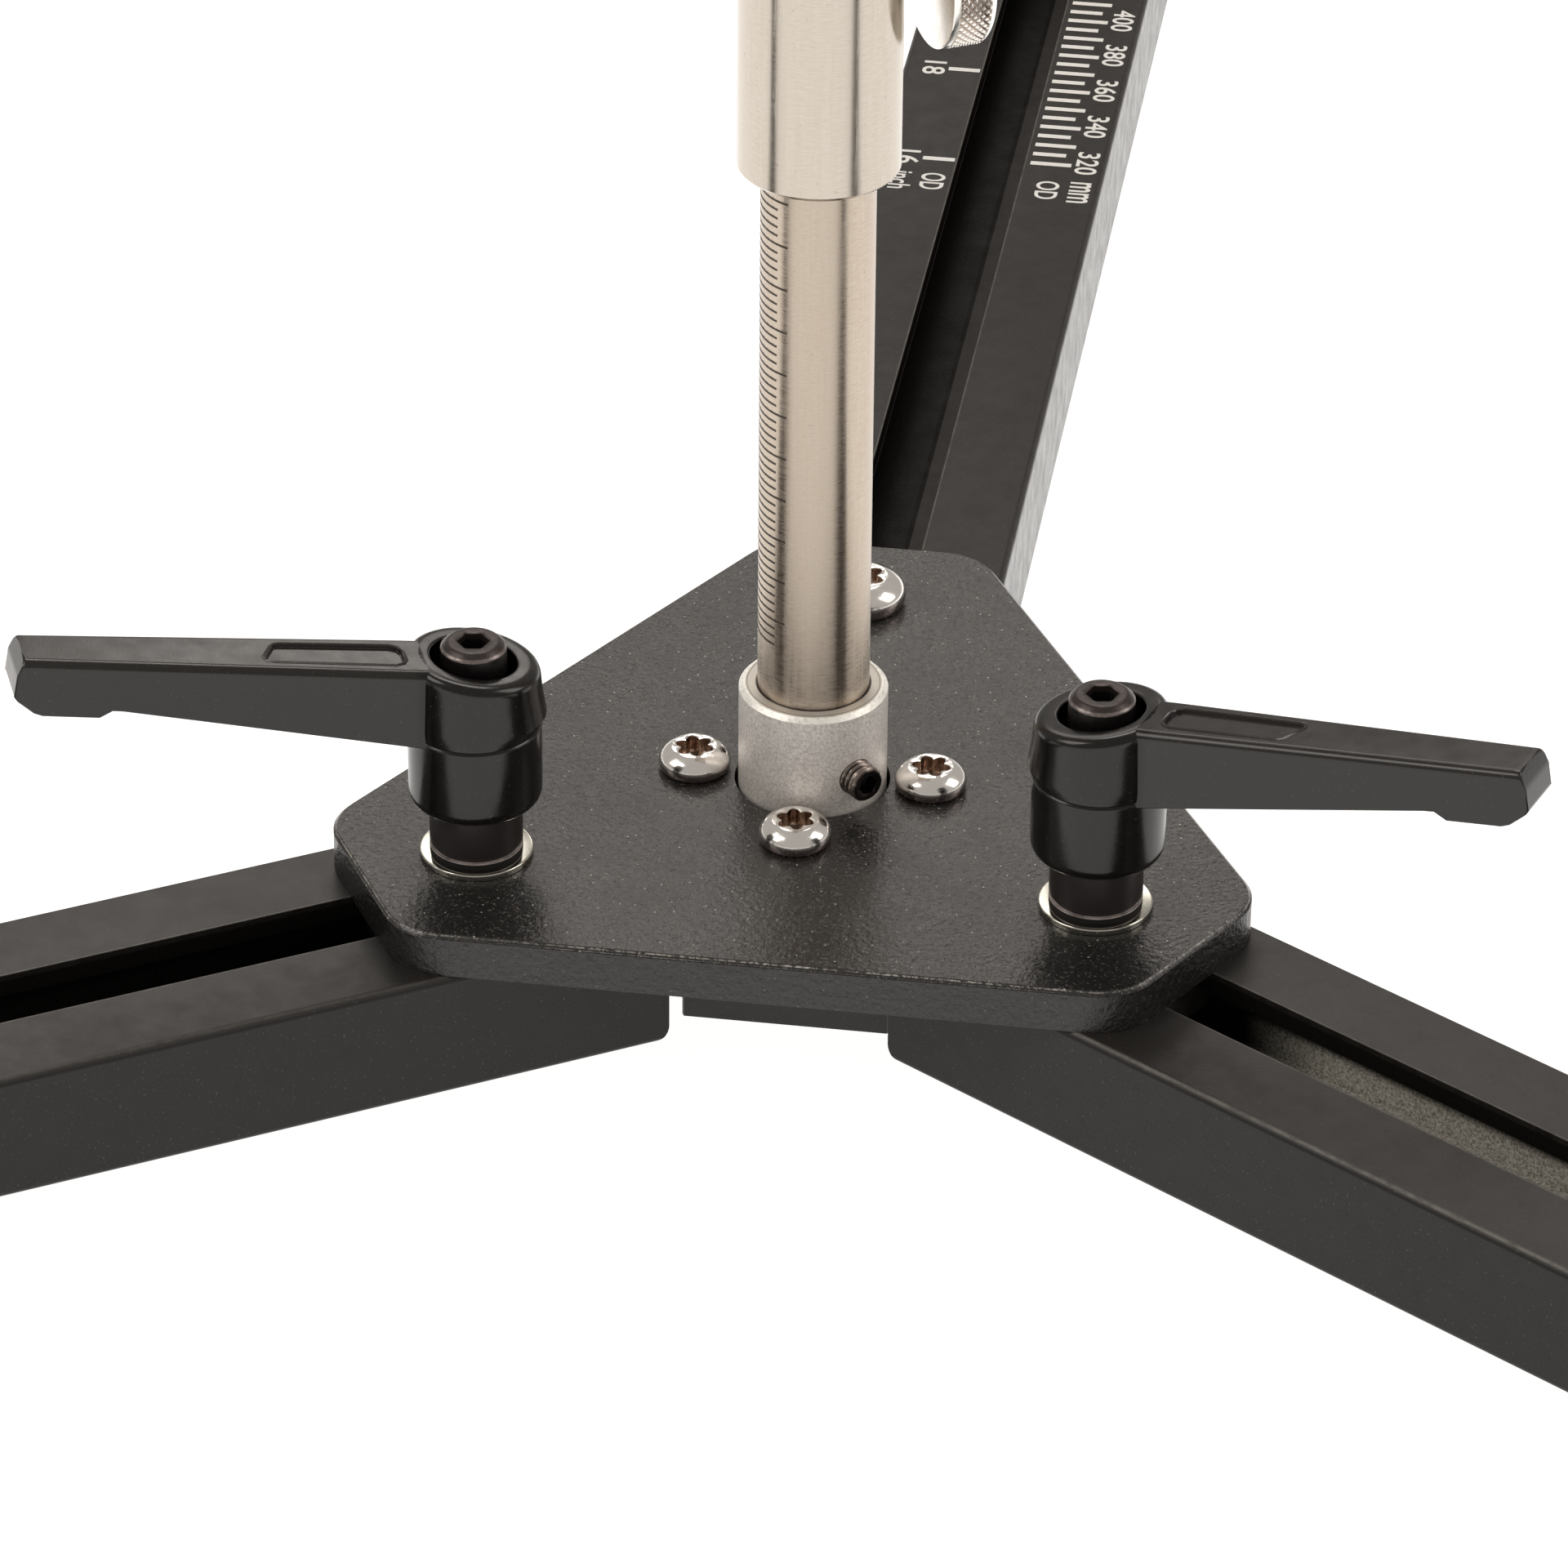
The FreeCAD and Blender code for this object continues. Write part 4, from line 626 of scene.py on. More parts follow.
# name, place, size and power
SOFTBOXES = (
    ("softbox_left", (-1.3, -0.5, 1.2), (0.9, 0.9), 9.0),
    ("softbox_right", (1.5, 0.2, 1.1), (0.8, 1.2), 9.0),
    ("softbox_top", (-0.1, 0.9, 1.7), (1.0, 0.6), 10.0),
    ("softbox_front", (-0.88, -0.68, 1.39), (0.3, 0.3), 1.4),
    ("softbox_low", (-0.06, 1.785, 0.97), (0.3, 0.3), 0.8),
    ("softbox_back", (-0.66, 1.64, 1.35), (0.9, 0.56), 3.4),
    ("softbox_fill", (0.25, -1.55, 0.6), (0.8, 0.8), 3.2),
)
CAMERA_PLACE = Vector((0.09978, -0.71090, 0.47435))
CAMERA_AIM = Vector((-0.0028, -0.0020, 0.0246))
CAMERA_ROLL = 0.48
CAMERA_LENS = 180.6


def show(name, data):
    """A new object in the scene."""
    obj = bpy.data.objects.new(name, data)
    bpy.context.scene.collection.objects.link(obj)
    return obj


def bake(work, name):
    """Turns a bmesh into a mesh and frees it."""
    mesh = bpy.data.meshes.new(name)
    work.to_mesh(mesh)
    work.free()
    return mesh


def make_stage():
    work = bmesh.new()
    bmesh.ops.create_grid(work, x_segments=8, y_segments=8, size=6.0)
    floor = show("studio_floor", bake(work, "studio_floor"))
    p = Paint("studio_white", Specular_IOR_Level=0.1, Emission_Strength=0.98, Roughness=0.8)
    p.put("Emission Color", (1.0, 0.99, 0.975, 1.0))
    p.put("Base Color", p.blend(p.noise(900.0, 2.0), (0.36, 0.355, 0.35), (0.4, 0.395, 0.39)))
    wear_paint(floor, p.material)


def make_lights():
    world = bpy.data.worlds.new("studio_world")
    world.use_nodes = True
    background = world.node_tree.nodes["Background"]
    background.inputs["Color"].default_value = (1.0, 0.93, 0.87, 1.0)
    background.inputs["Strength"].default_value = 0.42
    bpy.context.scene.world = world
    for name, place, size, power in SOFTBOXES:
        lamp = bpy.data.lights.new(name, "AREA")
        lamp.shape = "RECTANGLE"
        lamp.size, lamp.size_y = size
        lamp.energy = power
        lamp.color = WARM
        obj = show(name, lamp)
        obj.location = place
        obj.rotation_euler = (LIGHT_AIM - Vector(place)).to_track_quat("-Z", "Y").to_euler()
        # the fill lights the collar's front, but isn't mirrored anywhere
        obj.visible_glossy = name != "softbox_fill"


def make_camera():
    camera = show("camera", bpy.data.cameras.new("camera"))
    turn = (CAMERA_AIM - CAMERA_PLACE).to_track_quat("-Z", "Y").to_matrix().to_4x4()
    roll = Matrix.Rotation(math.radians(CAMERA_ROLL), 4, "Z")
    camera.matrix_world = Matrix.Translation(CAMERA_PLACE) @ turn @ roll
    camera.data.sensor_width = 36.0
    camera.data.lens = CAMERA_LENS
    camera.data.clip_start = 0.01
    camera.data.clip_end = 50.0
    bpy.context.scene.camera = camera


make_stage()
make_lights()
make_camera()
bpy.context.scene.view_settings.view_transform = "Standard"

# -------------------------------- mesh kit


def new_piece(name, mesh, place=None, sharp=34):
    """An object with smooth shading that breaks at edges steeper than the angle."""
    mesh.shade_smooth()
    mesh.set_sharp_from_angle(angle=math.radians(sharp))
    obj = show(name, mesh)
    if place is not None:
        obj.matrix_world = place
    return obj


def settle(obj, body, slot, material, *replaced):
    """Paints a piece and ties it to the frame."""
    wear_paint(obj, material)
    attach(obj, body)
    if replaced:
        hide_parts(*replaced)


def rounded(points, steps=4):
    """A half section (r, z, corner cut) with each corner drawn as a small curve."""
    out = []
    for index, (r, z, cut) in enumerate(points):
        here = Vector((r, z))
        if not cut or index in (0, len(points) - 1):
            out.append((r, z))
            continue
        before = Vector(points[index - 1][:2])
        after = Vector(points[index + 1][:2])
        start = here + (before - here).normalized() * cut
        end = here + (after - here).normalized() * cut
        for step in range(steps + 1):
            t = step / steps
            p = start.lerp(here, t).lerp(here.lerp(end, t), t)
            out.append((p.x, p.y))
    return out


def lathe(name, rings, segments=96, shape=None, closed=False):
    """Turned mesh through (r, z) rings, in millimetres; shape gives r at each angle."""
    work = bmesh.new()
    loops = []
    for r, z in rings:
        if r <= 1e-6:
            loops.append([work.verts.new((0, 0, z * M))])
            continue
        loop = []
        for index in range(segments):
            angle = TAU * index / segments
            reach = (shape(r, z, angle) if shape else r) * M
            loop.append(work.verts.new((reach * math.cos(angle), reach * math.sin(angle), z * M)))
        loops.append(loop)
    pairs = list(zip(loops, loops[1:]))
    if closed:
        pairs.append((loops[-1], loops[0]))
    for one, other in pairs:
        for index in range(segments):
            follower = (index + 1) % segments
            corners = [one[index % len(one)], one[follower % len(one)]]
            corners += [other[follower % len(other)], other[index % len(other)]]
            face = list(dict.fromkeys(corners))
            if len(face) > 2:
                work.faces.new(face)
    bmesh.ops.recalc_face_normals(work, faces=work.faces)
    return bake(work, name)


def walls(work, one, other):
    """Four-sided faces between two closed loops of one length."""
    for index in range(len(one)):
        follower = (index + 1) % len(one)
        work.faces.new([one[index], one[follower], other[follower], other[index]])


def prism(work, one, other):
    """A closed solid between two loops."""
    walls(work, one, other)
    work.faces.new(list(reversed(one)))
    work.faces.new(other)
    bmesh.ops.recalc_face_normals(work, faces=work.faces)


def bevel(work, edges, offset, segments, profile=0.5):
    bmesh.ops.bevel(
        work,
        geom=edges,
        offset=offset * M,
        segments=segments,
        profile=profile,
        affect="EDGES",
        clamp_overlap=True,
    )


def join_meshes(name, *meshes):
    work = bmesh.new()
    for mesh in meshes:
        work.from_mesh(mesh)
    return bake(work, name)


def evaluated(obj):
    """The mesh of an object with its modifiers or its lettering."""
    bpy.context.view_layer.update()
    graph = bpy.context.evaluated_depsgraph_get()
    return bpy.data.meshes.new_from_object(obj.evaluated_get(graph))


def saw(x):
    """A triangle wave from 0 to 1 and back over each whole number."""
    return 1.0 - abs(2.0 * (x - math.floor(x)) - 1.0)


def hexagon(r, angle):
    return r / math.cos((angle + math.pi / 6) % (math.pi / 3) - math.pi / 6)


def evenly(low, high, step):
    """Evenly spaced numbers from low to high."""
    count = max(1, round((high - low) / step))
    return [low + (high - low) * index / count for index in range(count + 1)]


# -------------------------------- screws


def button_screw(name, node, x, y, shank, length, head, tall, lobe, turn):
    """Domed head with a barrel-shaped side and a six-lobed recess."""
    weights = {}

    def ring(r, z, weight):
        """A ring of the recess and how deep its lobes are."""
        weights[(round(r, 4), round(z, 4))] = weight
        return (r, z)

    barrel, dome = 6, 16
    waist, lip = tall * 0.36, lobe * 1.14
    opening = math.acos(lip / head)
    outside = [(0, -length), (shank - 0.4, -length), (shank, -length + 0.4), (shank, 0)]
    for step in range(barrel + 1):
        t = math.pi / 2 * step / barrel
        outside.append((head - 0.45 * (1 - math.sin(t)), waist * (1 - math.cos(t))))
    for step in range(1, dome + 1):
        t = opening * step / dome
        height = waist + (tall - waist) * math.sin(t) / math.sin(opening)
        outside.append((head * math.cos(t), height))
    recess = [
        ring(lobe * 1.06, tall - 0.02, 0.75),
        ring(lobe, tall - 0.1, 1.0),
        ring(lobe * 0.98, tall - 0.3, 1.0),
        ring(lobe * 0.95, tall * 0.36, 1.0),
        ring(lobe * 0.88, tall * 0.28, 1.0),
        ring(lobe * 0.4, tall * 0.22, 0.3),
        (0, tall * 0.2),
    ]

    def shape(r, z, angle):
        weight = weights.get((round(r, 4), round(z, 4)), 0.0)
        valley = 1 - abs(math.cos(3 * (angle + math.radians(turn)))) ** 1.4
        return r * (1 - weight * 0.3 * valley)

    paint = screw_steel(f"{name}_steel", lobe * 1.03, tall)
    obj = new_piece(name, lathe(name, outside + recess, 144, shape), spot(x, y, PLATE_TOP), 30)
    settle(obj, "stand", "bright_screw", paint, node)


def thread(crest, pitch, depth, low, high):
    """A screw thread's radius at a height and angle, fading out at the ends."""

    def shape(r, z, angle):
        if not low < z < high:
            return r
        fade = min(1.0, (z - low) / pitch, (high - z) / pitch)
        groove = max(0.0, saw(z / pitch + angle / TAU) - 0.12) / 0.88
        return crest - depth * fade * groove

    return shape


def set_screw(name, node, azimuth):
    """Threaded set screw standing out of the collar, with a hexagon socket."""
    radius, start, end, socket = 2.0, 6.15, 10.2, 1.0
    cut = thread(radius, 0.7, 0.36, 7.2, end - 0.3)
    sockets = [(socket, end - 0.1), (socket, end - 1.6)]

    def shape(r, z, angle):
        if (r, z) in sockets:
            return hexagon(r, angle)
        return cut(r, z, angle) if r == radius else r

    rings = [(0, start), (radius - 0.3, start), (radius, start + 0.25)]
    rings += [(radius, z) for z in evenly(6.6, end - 0.35, 0.07)]
    rings += [(radius - 0.32, end), (socket + 0.22, end)] + sockets + [(0, end - 1.9)]
    place = spot(0, 0, SET_SCREW_HEIGHT, azimuth, lying=True)
    obj = new_piece(name, lathe(name, rings, 72, shape), place, 40)
    settle(obj, "stand", "black_screw", SET_SCREW_STEEL, node)


def cap_screw(side):
    """Socket-head screw in the lever hub: chamfered head, hexagon socket."""
    x, y = ARMS[side][:2]
    head, low, top, socket, shank, tip = 3.5, CAP_SEAT, 26.1, 1.5, 2.0, 5.0
    sockets = [(socket, top - 0.12), (socket, top - 2.0)]
    outside = rounded(
        [
            (0, tip, 0),
            (shank, tip, 0.4),
            (shank, low, 0),
            (head, low, 0.2),
            (head, top - 0.72, 0.16),
            (head - 0.78, top, 0.3),
            (socket * 1.22, top, 0),
        ]
    )

    def shape(r, z, angle):
        return hexagon(r, angle + 0.35) if (r, z) in sockets else r

    name = f"{side}_cap_screw"
    mesh = lathe(name, outside + sockets + [(0, top - 2.5)], 96, shape)
    obj = new_piece(name, mesh, spot(x, y, PLATE_TOP))
    settle(obj, f"{side}_stud", "black_screw", worn_screw(head, top), f"{side}_lever_screw")


def knurled(radius, low, high):
    """A diamond knurl between two heights, as a radius at each height and angle."""
    depth, pitch, fade_out = 0.26, 1.0, 0.12
    count = round(TAU * radius / pitch)

    def shape(r, z, angle):
        if r < radius - 1e-6 or not low < z < high:
            return r
        fade = min(1.0, (z - low) / fade_out, (high - z) / fade_out)
        across, along = angle / TAU * count, z / pitch * 1.15
        crest = min(saw(across + along), saw(across - along))
        return r - depth * fade * (1 - min(1.0, crest * 1.35))

    return shape, count * 8


def thumb_screw(name, body, place, node, tip, start, radius, thick, neck=None, shank=2.0):
    """Screw with a diamond-knurled knob; its own Z runs out along the screw.

    tip, start and thick are where the screw ends, where its knob starts and how thick the knob
    is. neck is the radius and length of a plain neck under the knob."""
    end = start + thick
    low, high = start + 0.75, end - 0.75
    knurl, segments = knurled(radius, low, high)
    cut = thread(shank, 0.7, 0.3, tip + 0.5, start - (0.2 if neck is None else neck[1] + 0.3))

    def shape(r, z, angle):
        return cut(r, z, angle) if r == shank else knurl(r, z, angle)

    rings = [(0, tip), (shank - 0.4, tip), (shank, tip + 0.4)]
    shoulder = start - 0.2 if neck is None else start - neck[1]
    rings += [(shank, z) for z in evenly(tip + 0.5, shoulder, 0.09)]
    if neck is not None:
        rings += [(neck[0], shoulder), (neck[0], start)]
    under = [(shank + 1.2, start, 0), (radius - 0.05, start, 0.2), (radius - 0.01, low - 0.12, 0)]
    rings += rounded(under)
    rings += [(radius - 0.12, low - 0.1), (radius - 0.12, low), (radius, low + 0.02)]
    rings += [(radius, z) for z in evenly(low + 0.1, high - 0.1, 0.11)]
    rings += [(radius, high), (radius - 0.1, high + 0.02)]
    rings += rounded(
        [
            (radius - 0.1, high + 0.04, 0),
            (radius - 0.12, end - 0.5, 0.15),
            (radius - 0.6, end, 0.3),
            (radius * 0.62, end, 0.1),
            (radius * 0.56, end - 0.35, 0.1),
            (0, end - 0.4, 0),
        ]
    )
    obj = new_piece(name, lathe(name, rings, segments, shape), place, 30)
    settle(obj, body, "knurled_steel", knurl_plate(radius, low, high), node)


for index in range(4):
    turn = math.radians(90 * index)
    button_screw(
        f"plate_button_{index + 1}",
        f"plate_screw_{index + 1}",
        PLATE_SCREW_REACH * math.cos(turn),
        PLATE_SCREW_REACH * math.sin(turn),
        shank=2.0,
        length=16.0,
        head=3.88,
        tall=2.7,
        lobe=2.1,
        turn=3 + 4 * index,
    )
button_screw("back_button", "back_arm_screw", 0, BACK_SCREW_REACH, 2.5, 13.1, 5.0, 3.4, 2.6, 20)
set_screw("collar_set_screw_1", "flange_set_screw_1", -46)
set_screw("collar_set_screw_2", "flange_set_screw_2", 134)
thumb_screw(
    "sleeve_knob",
    "sleeve_screw",
    spot(0, 0, SLEEVE_SCREW_HEIGHT, SLEEVE_SCREW_AZIMUTH, lying=True),
    "sleeve_thumb_screw",
    tip=6.15,
    start=11.5,
    radius=7.9,
    thick=4.9,
)
for side, (_, _, azimuth, _) in ARMS.items():
    thumb_screw(
        f"{side}_clamp_knob",
        f"{side}_clamp",
        spot(*on_arm(side, CLAMP_REACH), ARM_TOP, azimuth),
        f"{side}_support_clamp_screw",
        tip=-8.0,
        start=13.0,
        radius=8.0,
        thick=7.0,
        neck=(5.5, 1.0),
        shank=3.0,
    )
    lock_azimuth = azimuth + (-90 if side == "right" else 90)
    thumb_screw(
        f"{side}_lock_knob",
        f"{side}_lock",
        spot(*on_arm(side, ROD_REACH), LOCK_HEIGHT, lock_azimuth, lying=True),
        f"{side}_support_lock_screw",
        tip=5.15,
        start=10.5,
        radius=6.0,
        thick=5.0,
    )

# -------------------------------- clamping levers

HANDLE_LENGTH = 47.4
HANDLE_TOP = 24.05
HANDLE_SLOPE = 0.1646
HANDLE_START = 7.4
HUB_HALF = 3.84
TIP_HALF = 3.13
HUB_LOW = 7.0
HUB_RADIUS = 7.2
RECESS_RADIUS = 4.575
SEAM = 16.45
# the outline of the panel in the handle's top: distance from the pivot, and to the side
PANEL_END = [(7.6, 0.9), (7.9, 1.5), (8.6, 1.8)]
PANEL_TIP = [(21.5, 1.64), (22.0, 1.5), (22.1, 1.1), (21.0, -1.1), (20.8, -1.5), (20.3, -1.66)]
PANEL = PANEL_END + PANEL_TIP + [(along, -width) for along, width in reversed(PANEL_END)]


def handle_top(along):
    """Height of the lever's top above the plate: one straight slope over hub and handle."""
    return HANDLE_TOP + HANDLE_SLOPE * along


def handle_width(along):
    """Half width of the handle at a distance from its pivot."""
    share = max(0.0, along - HANDLE_START)
    return HUB_HALF + (TIP_HALF - HUB_HALF) * share / (HANDLE_LENGTH - HANDLE_START)


def handle_arm(name):
    """The lever's arm: a tapered bar with a hooked end and rounded edges."""
    root = 5.3
    under = [(root, SEAM - 0.85), (37.5, 24.5)]
    hook = [(38.6, 24.7), (40.0, 24.05), (45.9, 25.05), (46.8, 25.5)]
    end = [(48.4, 27.1), (48.75, 27.7), (48.3, 30.2), (HANDLE_LENGTH, 31.85)]
    top = [(along, handle_top(along)) for along in (46.6, 27.0, HANDLE_START, root)]
    outline = under + hook + end + top
    work = bmesh.new()
    sides = []
    for sign in (-1, 1):
        loop = [work.verts.new((a * M, sign * handle_width(a) * M, z * M)) for a, z in outline]
        sides.append(loop)
    prism(work, *sides)

    def long_edges(steepest):
        """The bar's long edges: those on top, or those of the underside and the end."""
        return [
            edge
            for edge in work.edges
            if edge.calc_face_angle(0) > math.radians(50)
            and abs(edge.verts[0].co.y - edge.verts[1].co.y) < M
            and edge.verts[0].co.x + edge.verts[1].co.x > (2 * root + 0.1) * M
            and all(handle_top(v.co.x / M) - v.co.z / M < steepest for v in edge.verts)
        ]

    bevel(work, long_edges(0.1), 0.95, 6)
    bevel(work, long_edges(30.0), 0.4, 3, 0.6)
    tips = [
        edge
        for edge in work.edges
        if abs(edge.verts[0].co.y - edge.verts[1].co.y) > 2 * M
        and edge.calc_face_angle(0) > math.radians(18)
        and edge.verts[0].co.x > 36 * M
    ]
    bevel(work, tips, 0.3, 3)
    return bake(work, name)


def panel_bead(name):
    """The raised line round the handle's panel: a closed ring with a five-cornered section."""
    section = [(0.02, -0.12), (0.06, 0.03), (0.26, 0.13), (0.5, 0.03), (0.52, -0.12)]
    work = bmesh.new()
    rings = []
    for index, (a, w) in enumerate(PANEL):
        before, after = PANEL[index - 1], PANEL[(index + 1) % len(PANEL)]
        along = Vector((after[0] - before[0], after[1] - before[1])).normalized()
        out = Vector((-along.y, along.x))
        ring = []
        for push, lift in section:
            x, y = a + out.x * push, w + out.y * push
            ring.append(work.verts.new((x * M, y * M, (handle_top(x) + lift) * M)))
        rings.append(ring)
    for index, ring in enumerate(rings):
        walls(work, ring, rings[(index + 1) % len(rings)])
    bmesh.ops.recalc_face_normals(work, faces=work.faces)
    return bake(work, name)


def sunk_panel(mesh):
    """Cuts the shallow panel into the top of the handle and softens its edges."""
    work = bmesh.new()
    floor, above = (
        [work.verts.new((a * M, w * M, (handle_top(a) + lift) * M)) for a, w in PANEL]
        for lift in (-0.3, 2.0)
    )
    prism(work, floor, above)
    cutter = show("panel_cutter", bake(work, "panel_cutter"))
    blank = show("handle_blank", mesh)
    cut = blank.modifiers.new("panel", "BOOLEAN")
    cut.object = cutter
    cut.operation = "DIFFERENCE"
    cut.solver = "EXACT"
    work = bmesh.new()
    work.from_mesh(evaluated(blank))
    for obj in (cutter, blank):
        bpy.data.objects.remove(obj)

    def in_panel(v):
        return 7.3 * M < v.co.x < 22.4 * M and abs(v.co.y) < 2.2 * M and v.co.z > 22 * M

    rim = [
        edge
        for edge in work.edges
        if edge.calc_face_angle(0) > math.radians(50) and all(map(in_panel, edge.verts))
    ]
    bevel(work, rim, 0.13, 2)
    return bake(work, "sunk_panel")


def handle_hub(name):
    """The lever's round hub: a cup under the seam, a wider shell above it and the screw's recess.

    The shell's top slopes with the handle, and its far side swells a little above the seam."""
    cup, foot, bore, web = 7.08, 5.05, 12.5, 14.5
    shoulder = SEAM + 1.1
    section = rounded(
        [
            (foot, bore, 0),
            (foot, HUB_LOW, 0.15),
            (cup, HUB_LOW, 1.6),
            (cup, SEAM - 0.3, 0.1),
            (6.9, SEAM - 0.08, 0.02),
            (7.12, SEAM + 0.1, 0.1),
            (HUB_RADIUS, shoulder, 0.5),
            (7.0, HANDLE_TOP, 1.25),
            (RECESS_RADIUS, HANDLE_TOP, 0.3),
            (RECESS_RADIUS, web, 0.2),
            (2.15, web, 0.05),
            (2.15, bore, 0),
        ],
        6,
    )
    lean = 0.2 / (HANDLE_TOP - SEAM - 1.1)
    for step in (1.2, 2.4, 3.6):
        r, z = HUB_RADIUS - lean * step, shoulder + step
        index = next(i for i, point in enumerate(section) if point[0] > 6 and point[1] > z)
        section.insert(index, (r, z))
    swell_height = 5.5

    def shape(r, z, angle):
        if r < 6.9 or not SEAM < z < SEAM + swell_height:
            return r
        far = max(0.0, -math.cos(angle)) ** 2
        swell = min((z - SEAM) / 1.1, (SEAM + swell_height - z) / 4.4)
        return r + 0.42 * far * max(0.0, swell)

    mesh = lathe(name, section, 128, shape, closed=True)
    for vertex in mesh.vertices:
        weight = min(1.0, max(0.0, (vertex.co.z / M - SEAM) / (HANDLE_TOP - SEAM)))
        vertex.co.z += HANDLE_SLOPE * vertex.co.x * weight
    return mesh


def lever_washer(side):
    """Polished washer with a rolled rim."""
    x, y = ARMS[side][:2]
    hole, rim, thick = 2.65, 6.05, 0.75
    section = [(hole, 0, 0), (rim, 0, 0.1), (rim, thick, 0.22), (hole, thick, 0)]
    mesh = lathe(f"{side}_washer_ring", rounded(section, 5), 128, closed=True)
    obj = new_piece(f"{side}_washer_ring", mesh, spot(x, y, PLATE_TOP), 50)
    settle(obj, "stand", "washer_steel", PAINTS["washer_steel"], f"{side}_washer")


def lever_handle(side, azimuth):
    """The lever's moulding: arm, panel and hub in one piece."""
    x, y = ARMS[side][:2]
    arm = sunk_panel(handle_arm(f"{side}_handle_arm"))
    bead, hub = panel_bead(f"{side}_panel_bead"), handle_hub(f"{side}_handle_hub")
    mesh = join_meshes(f"{side}_handle", arm, bead, hub)
    obj = new_piece(f"{side}_handle_shell", mesh, spot(x, y, PLATE_TOP, azimuth), 30)
    obj.modifiers.new("even_faces", "WEIGHTED_NORMAL").keep_sharp = True
    settle(obj, f"{side}_handle", "lever_plastic", PAINTS["lever_plastic"], f"{side}_lever_handle")


for side, azimuth in HANDLES.items():
    lever_washer(side)
    lever_handle(side, azimuth)
    cap_screw(side)

# -------------------------------- scales and lettering

INK = 0.03
RIM_OFFSET = 5.5  # how much nearer to the post than the rim a mark stands
# wheel sizes in inches and their rims' outer diameters
INCH_MARKS = {"16": 318.4, "18": 367.8, "20": 418, "24": 519, "26": 571, "27.5": 596, "29": 634}
POST_SCALE_ZERO = 24.7
POST_MARK = 91.7  # height of the graduation that the others are counted from


def strip_mesh(name, strips):
    """Thin flat boxes (x0, x1, y0, y1), in millimetres, on the plane z = 0, open underneath."""
    work = bmesh.new()
    for x0, x1, y0, y1 in strips:
        corners = ((x0, y0), (x1, y0), (x1, y1), (x0, y1))
        low = [work.verts.new((x * M, y * M, 0)) for x, y in corners]
        high = [work.verts.new(v.co + Vector((0, 0, INK * M))) for v in low]
        work.faces.new(high)
        walls(work, low, high)
    return bake(work, name)


def word_mesh(text, low, high, reading):
    """Flat raised letters that fill a box; reading is the direction of the words in degrees."""
    curve = bpy.data.curves.new(text, "FONT")
    curve.body = text
    curve.extrude = 0.015
    curve.resolution_u = 4
    curve.offset = 0.012
    obj = show("lettering", curve)
    mesh = evaluated(obj)
    bpy.data.objects.remove(obj)
    mesh.transform(Matrix.Rotation(math.radians(reading), 4, "Z"))
    xs, ys, zs = zip(*(v.co for v in mesh.vertices))
    middle = 0.5 * (min(zs) + max(zs))
    for vertex in mesh.vertices:
        x = low[0] + (vertex.co.x - min(xs)) / (max(xs) - min(xs)) * (high[0] - low[0])
        y = low[1] + (vertex.co.y - min(ys)) / (max(ys) - min(ys)) * (high[1] - low[1])
        vertex.co = Vector((x, y, INK if vertex.co.z > middle else 0.0)) * M
    return mesh


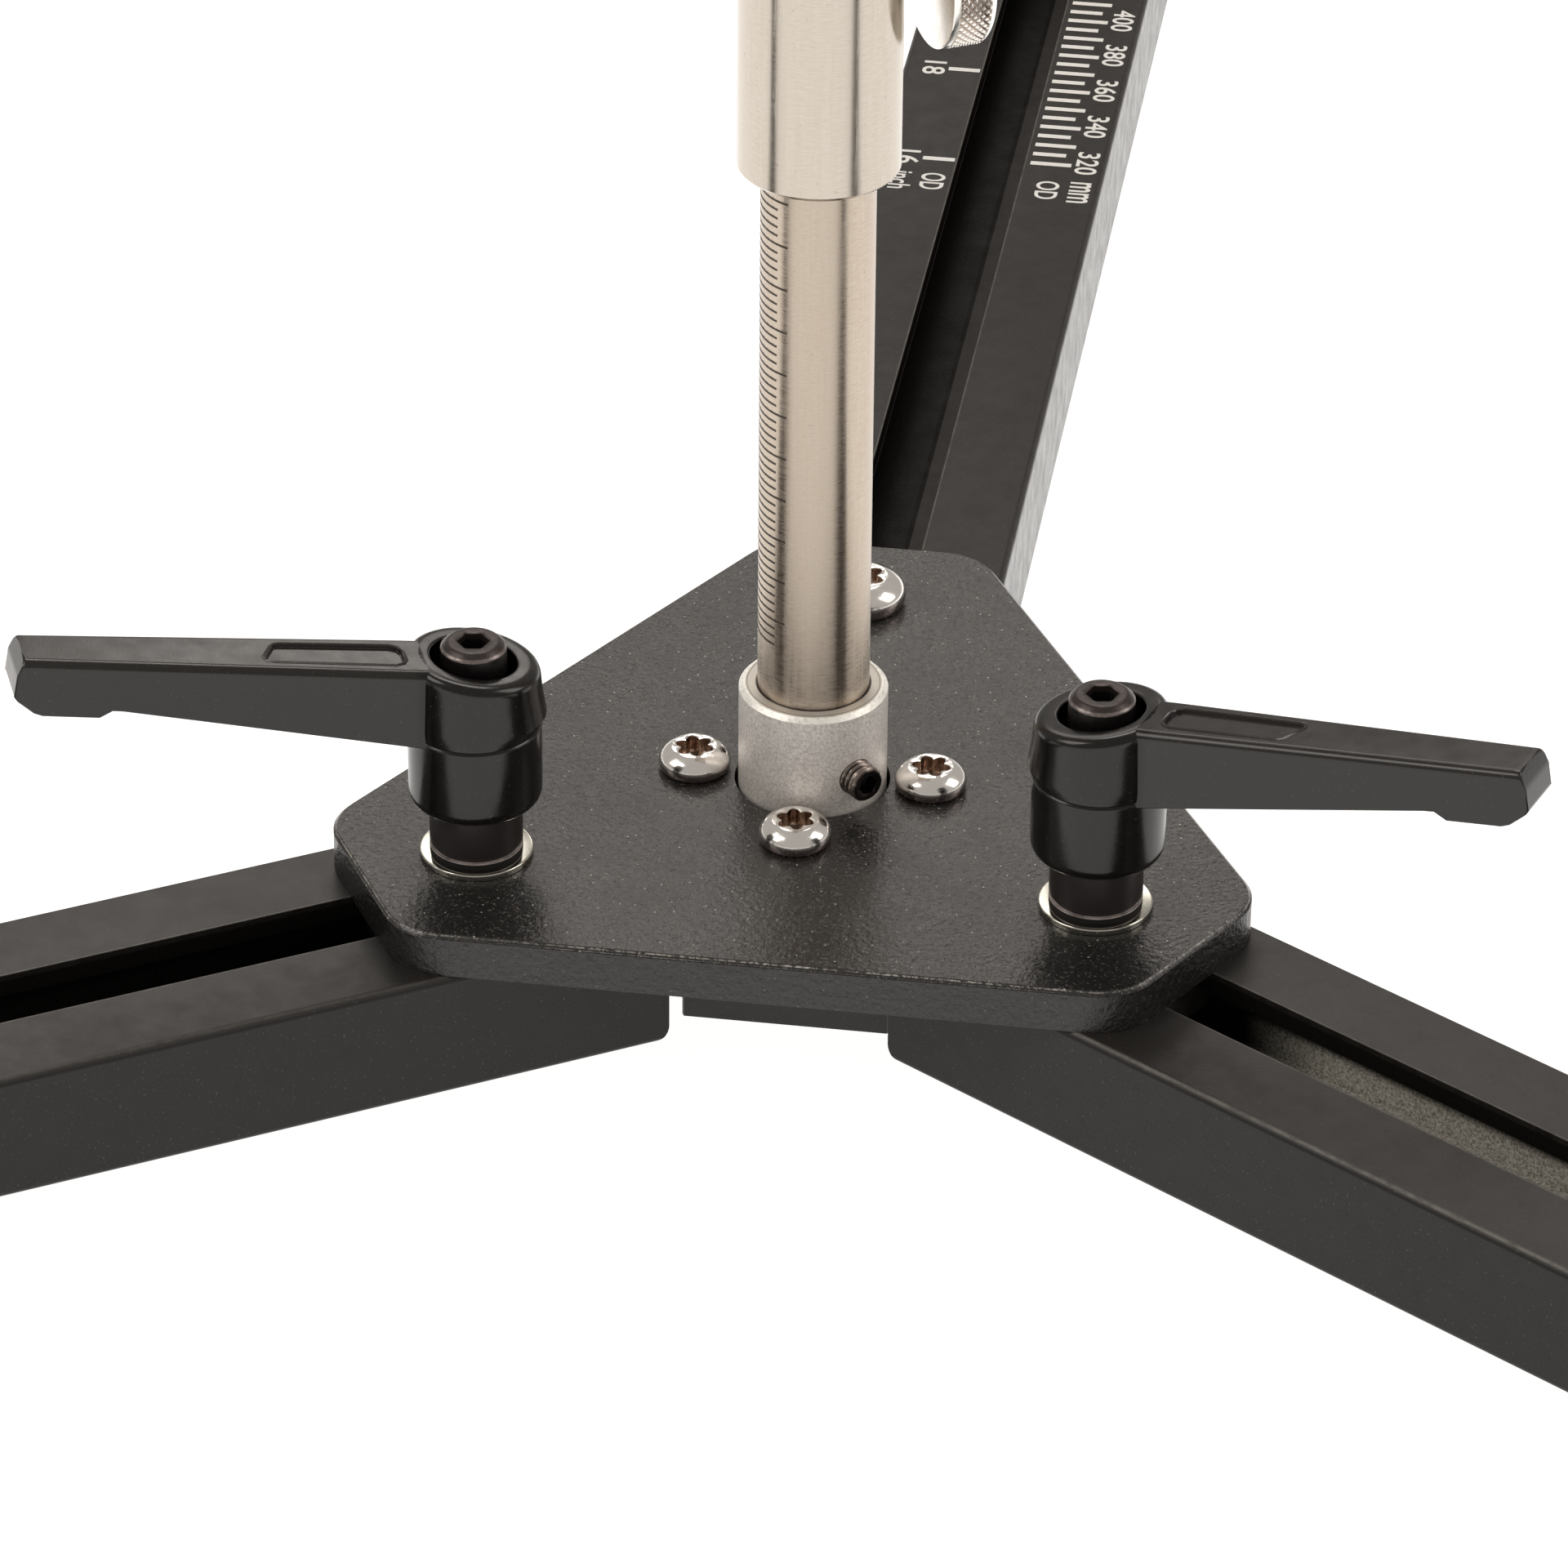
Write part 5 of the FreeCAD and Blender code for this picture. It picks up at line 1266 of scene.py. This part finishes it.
def arm_scale(side):
    """Rim diameters printed beside the slot: millimetres on one rail, inches on the other.

    Drawn for an arm that runs along +Y from the post axis."""
    strips = []
    words = []

    def mark(diameter, x0, x1):
        """A graduation from x0 to x1; gives its place along the arm."""
        y = diameter / 2 - RIM_OFFSET
        strips.append((x0, x1, y - 0.45, y + 0.45))
        return y

    def word(text, x0, y0, x1, y1):
        words.append(word_mesh(text, (x0, y0), (x1, y1), -90))

    for diameter in range(320, 681, 5):
        y = mark(diameter, 4.9, 10.0 if diameter % 10 == 0 else 9.05)
        if diameter % 20 == 0:
            word(str(diameter), 10.5, y - 2.1, 13.3, y + 3.8)
    word("mm", 10.45, 144.8, 13.1, 150.2)
    word("OD", 6.3, 145.2, 9.2, 149.9)
    for inches, diameter in INCH_MARKS.items():
        y = mark(diameter, -8.5, -4.5)
        half = 0.9 * len(inches.replace(".", "")) + (0.4 if "." in inches else 0)
        word(inches, -11.8, y - half, -8.9, y + half)
    word("OD", -8.06, 145.5, -5.0, 149.8)
    word("inch", -11.9, 145.1, -9.1, 149.7)
    return join_meshes(f"{side}_scale", strip_mesh(f"{side}_ticks", strips), *words)


def wrap_on_post(mesh):
    """Bends a flat mesh round the post: x is the arc length from azimuth 0, y the height."""
    for vertex in mesh.vertices:
        angle = vertex.co.x / (POST_RADIUS * M)
        reach = (POST_RADIUS + 0.004) * M + vertex.co.z * 0.5
        vertex.co = Vector((reach * math.cos(angle), reach * math.sin(angle), vertex.co.y))
    return mesh


def post_scale():
    """Millimetre graduations up the post's left side, with a plain number every 10 mm."""

    def arc(azimuth):
        return math.radians(azimuth) * POST_RADIUS

    words = []
    strips = []
    start, right = arc(-184), arc(-186)
    pieces = 10
    for step in range(-48, 106):
        z = POST_MARK + step
        length = arc(-113.5 if step % 5 == 0 else -126.5) - start
        for piece in range(pieces):
            ends = (start + length * n / pieces for n in (piece, piece + 1))
            strips.append((*ends, z - 0.12, z + 0.12))
        if step % 10 == 0:
            label = str(round(z - POST_SCALE_ZERO))
            words.append(word_mesh(label, (right - 1.1 * len(label), z - 0.9), (right, z + 0.9), 0))
    return wrap_on_post(join_meshes("post_scale", strip_mesh("post_ticks", strips), *words))


for side, (_, _, azimuth, _) in ARMS.items():
    place = spot(*on_arm(side, 0.0), ARM_TOP, azimuth - 90.0)
    obj = new_piece(f"{side}_arm_scale", arm_scale(side), place)
    settle(obj, "stand" if side == "back" else f"{side}_arm", "arm_anodised", PRINT_WHITE)
settle(new_piece("post_graduations", post_scale()), "stand", "post_steel", ETCHED)
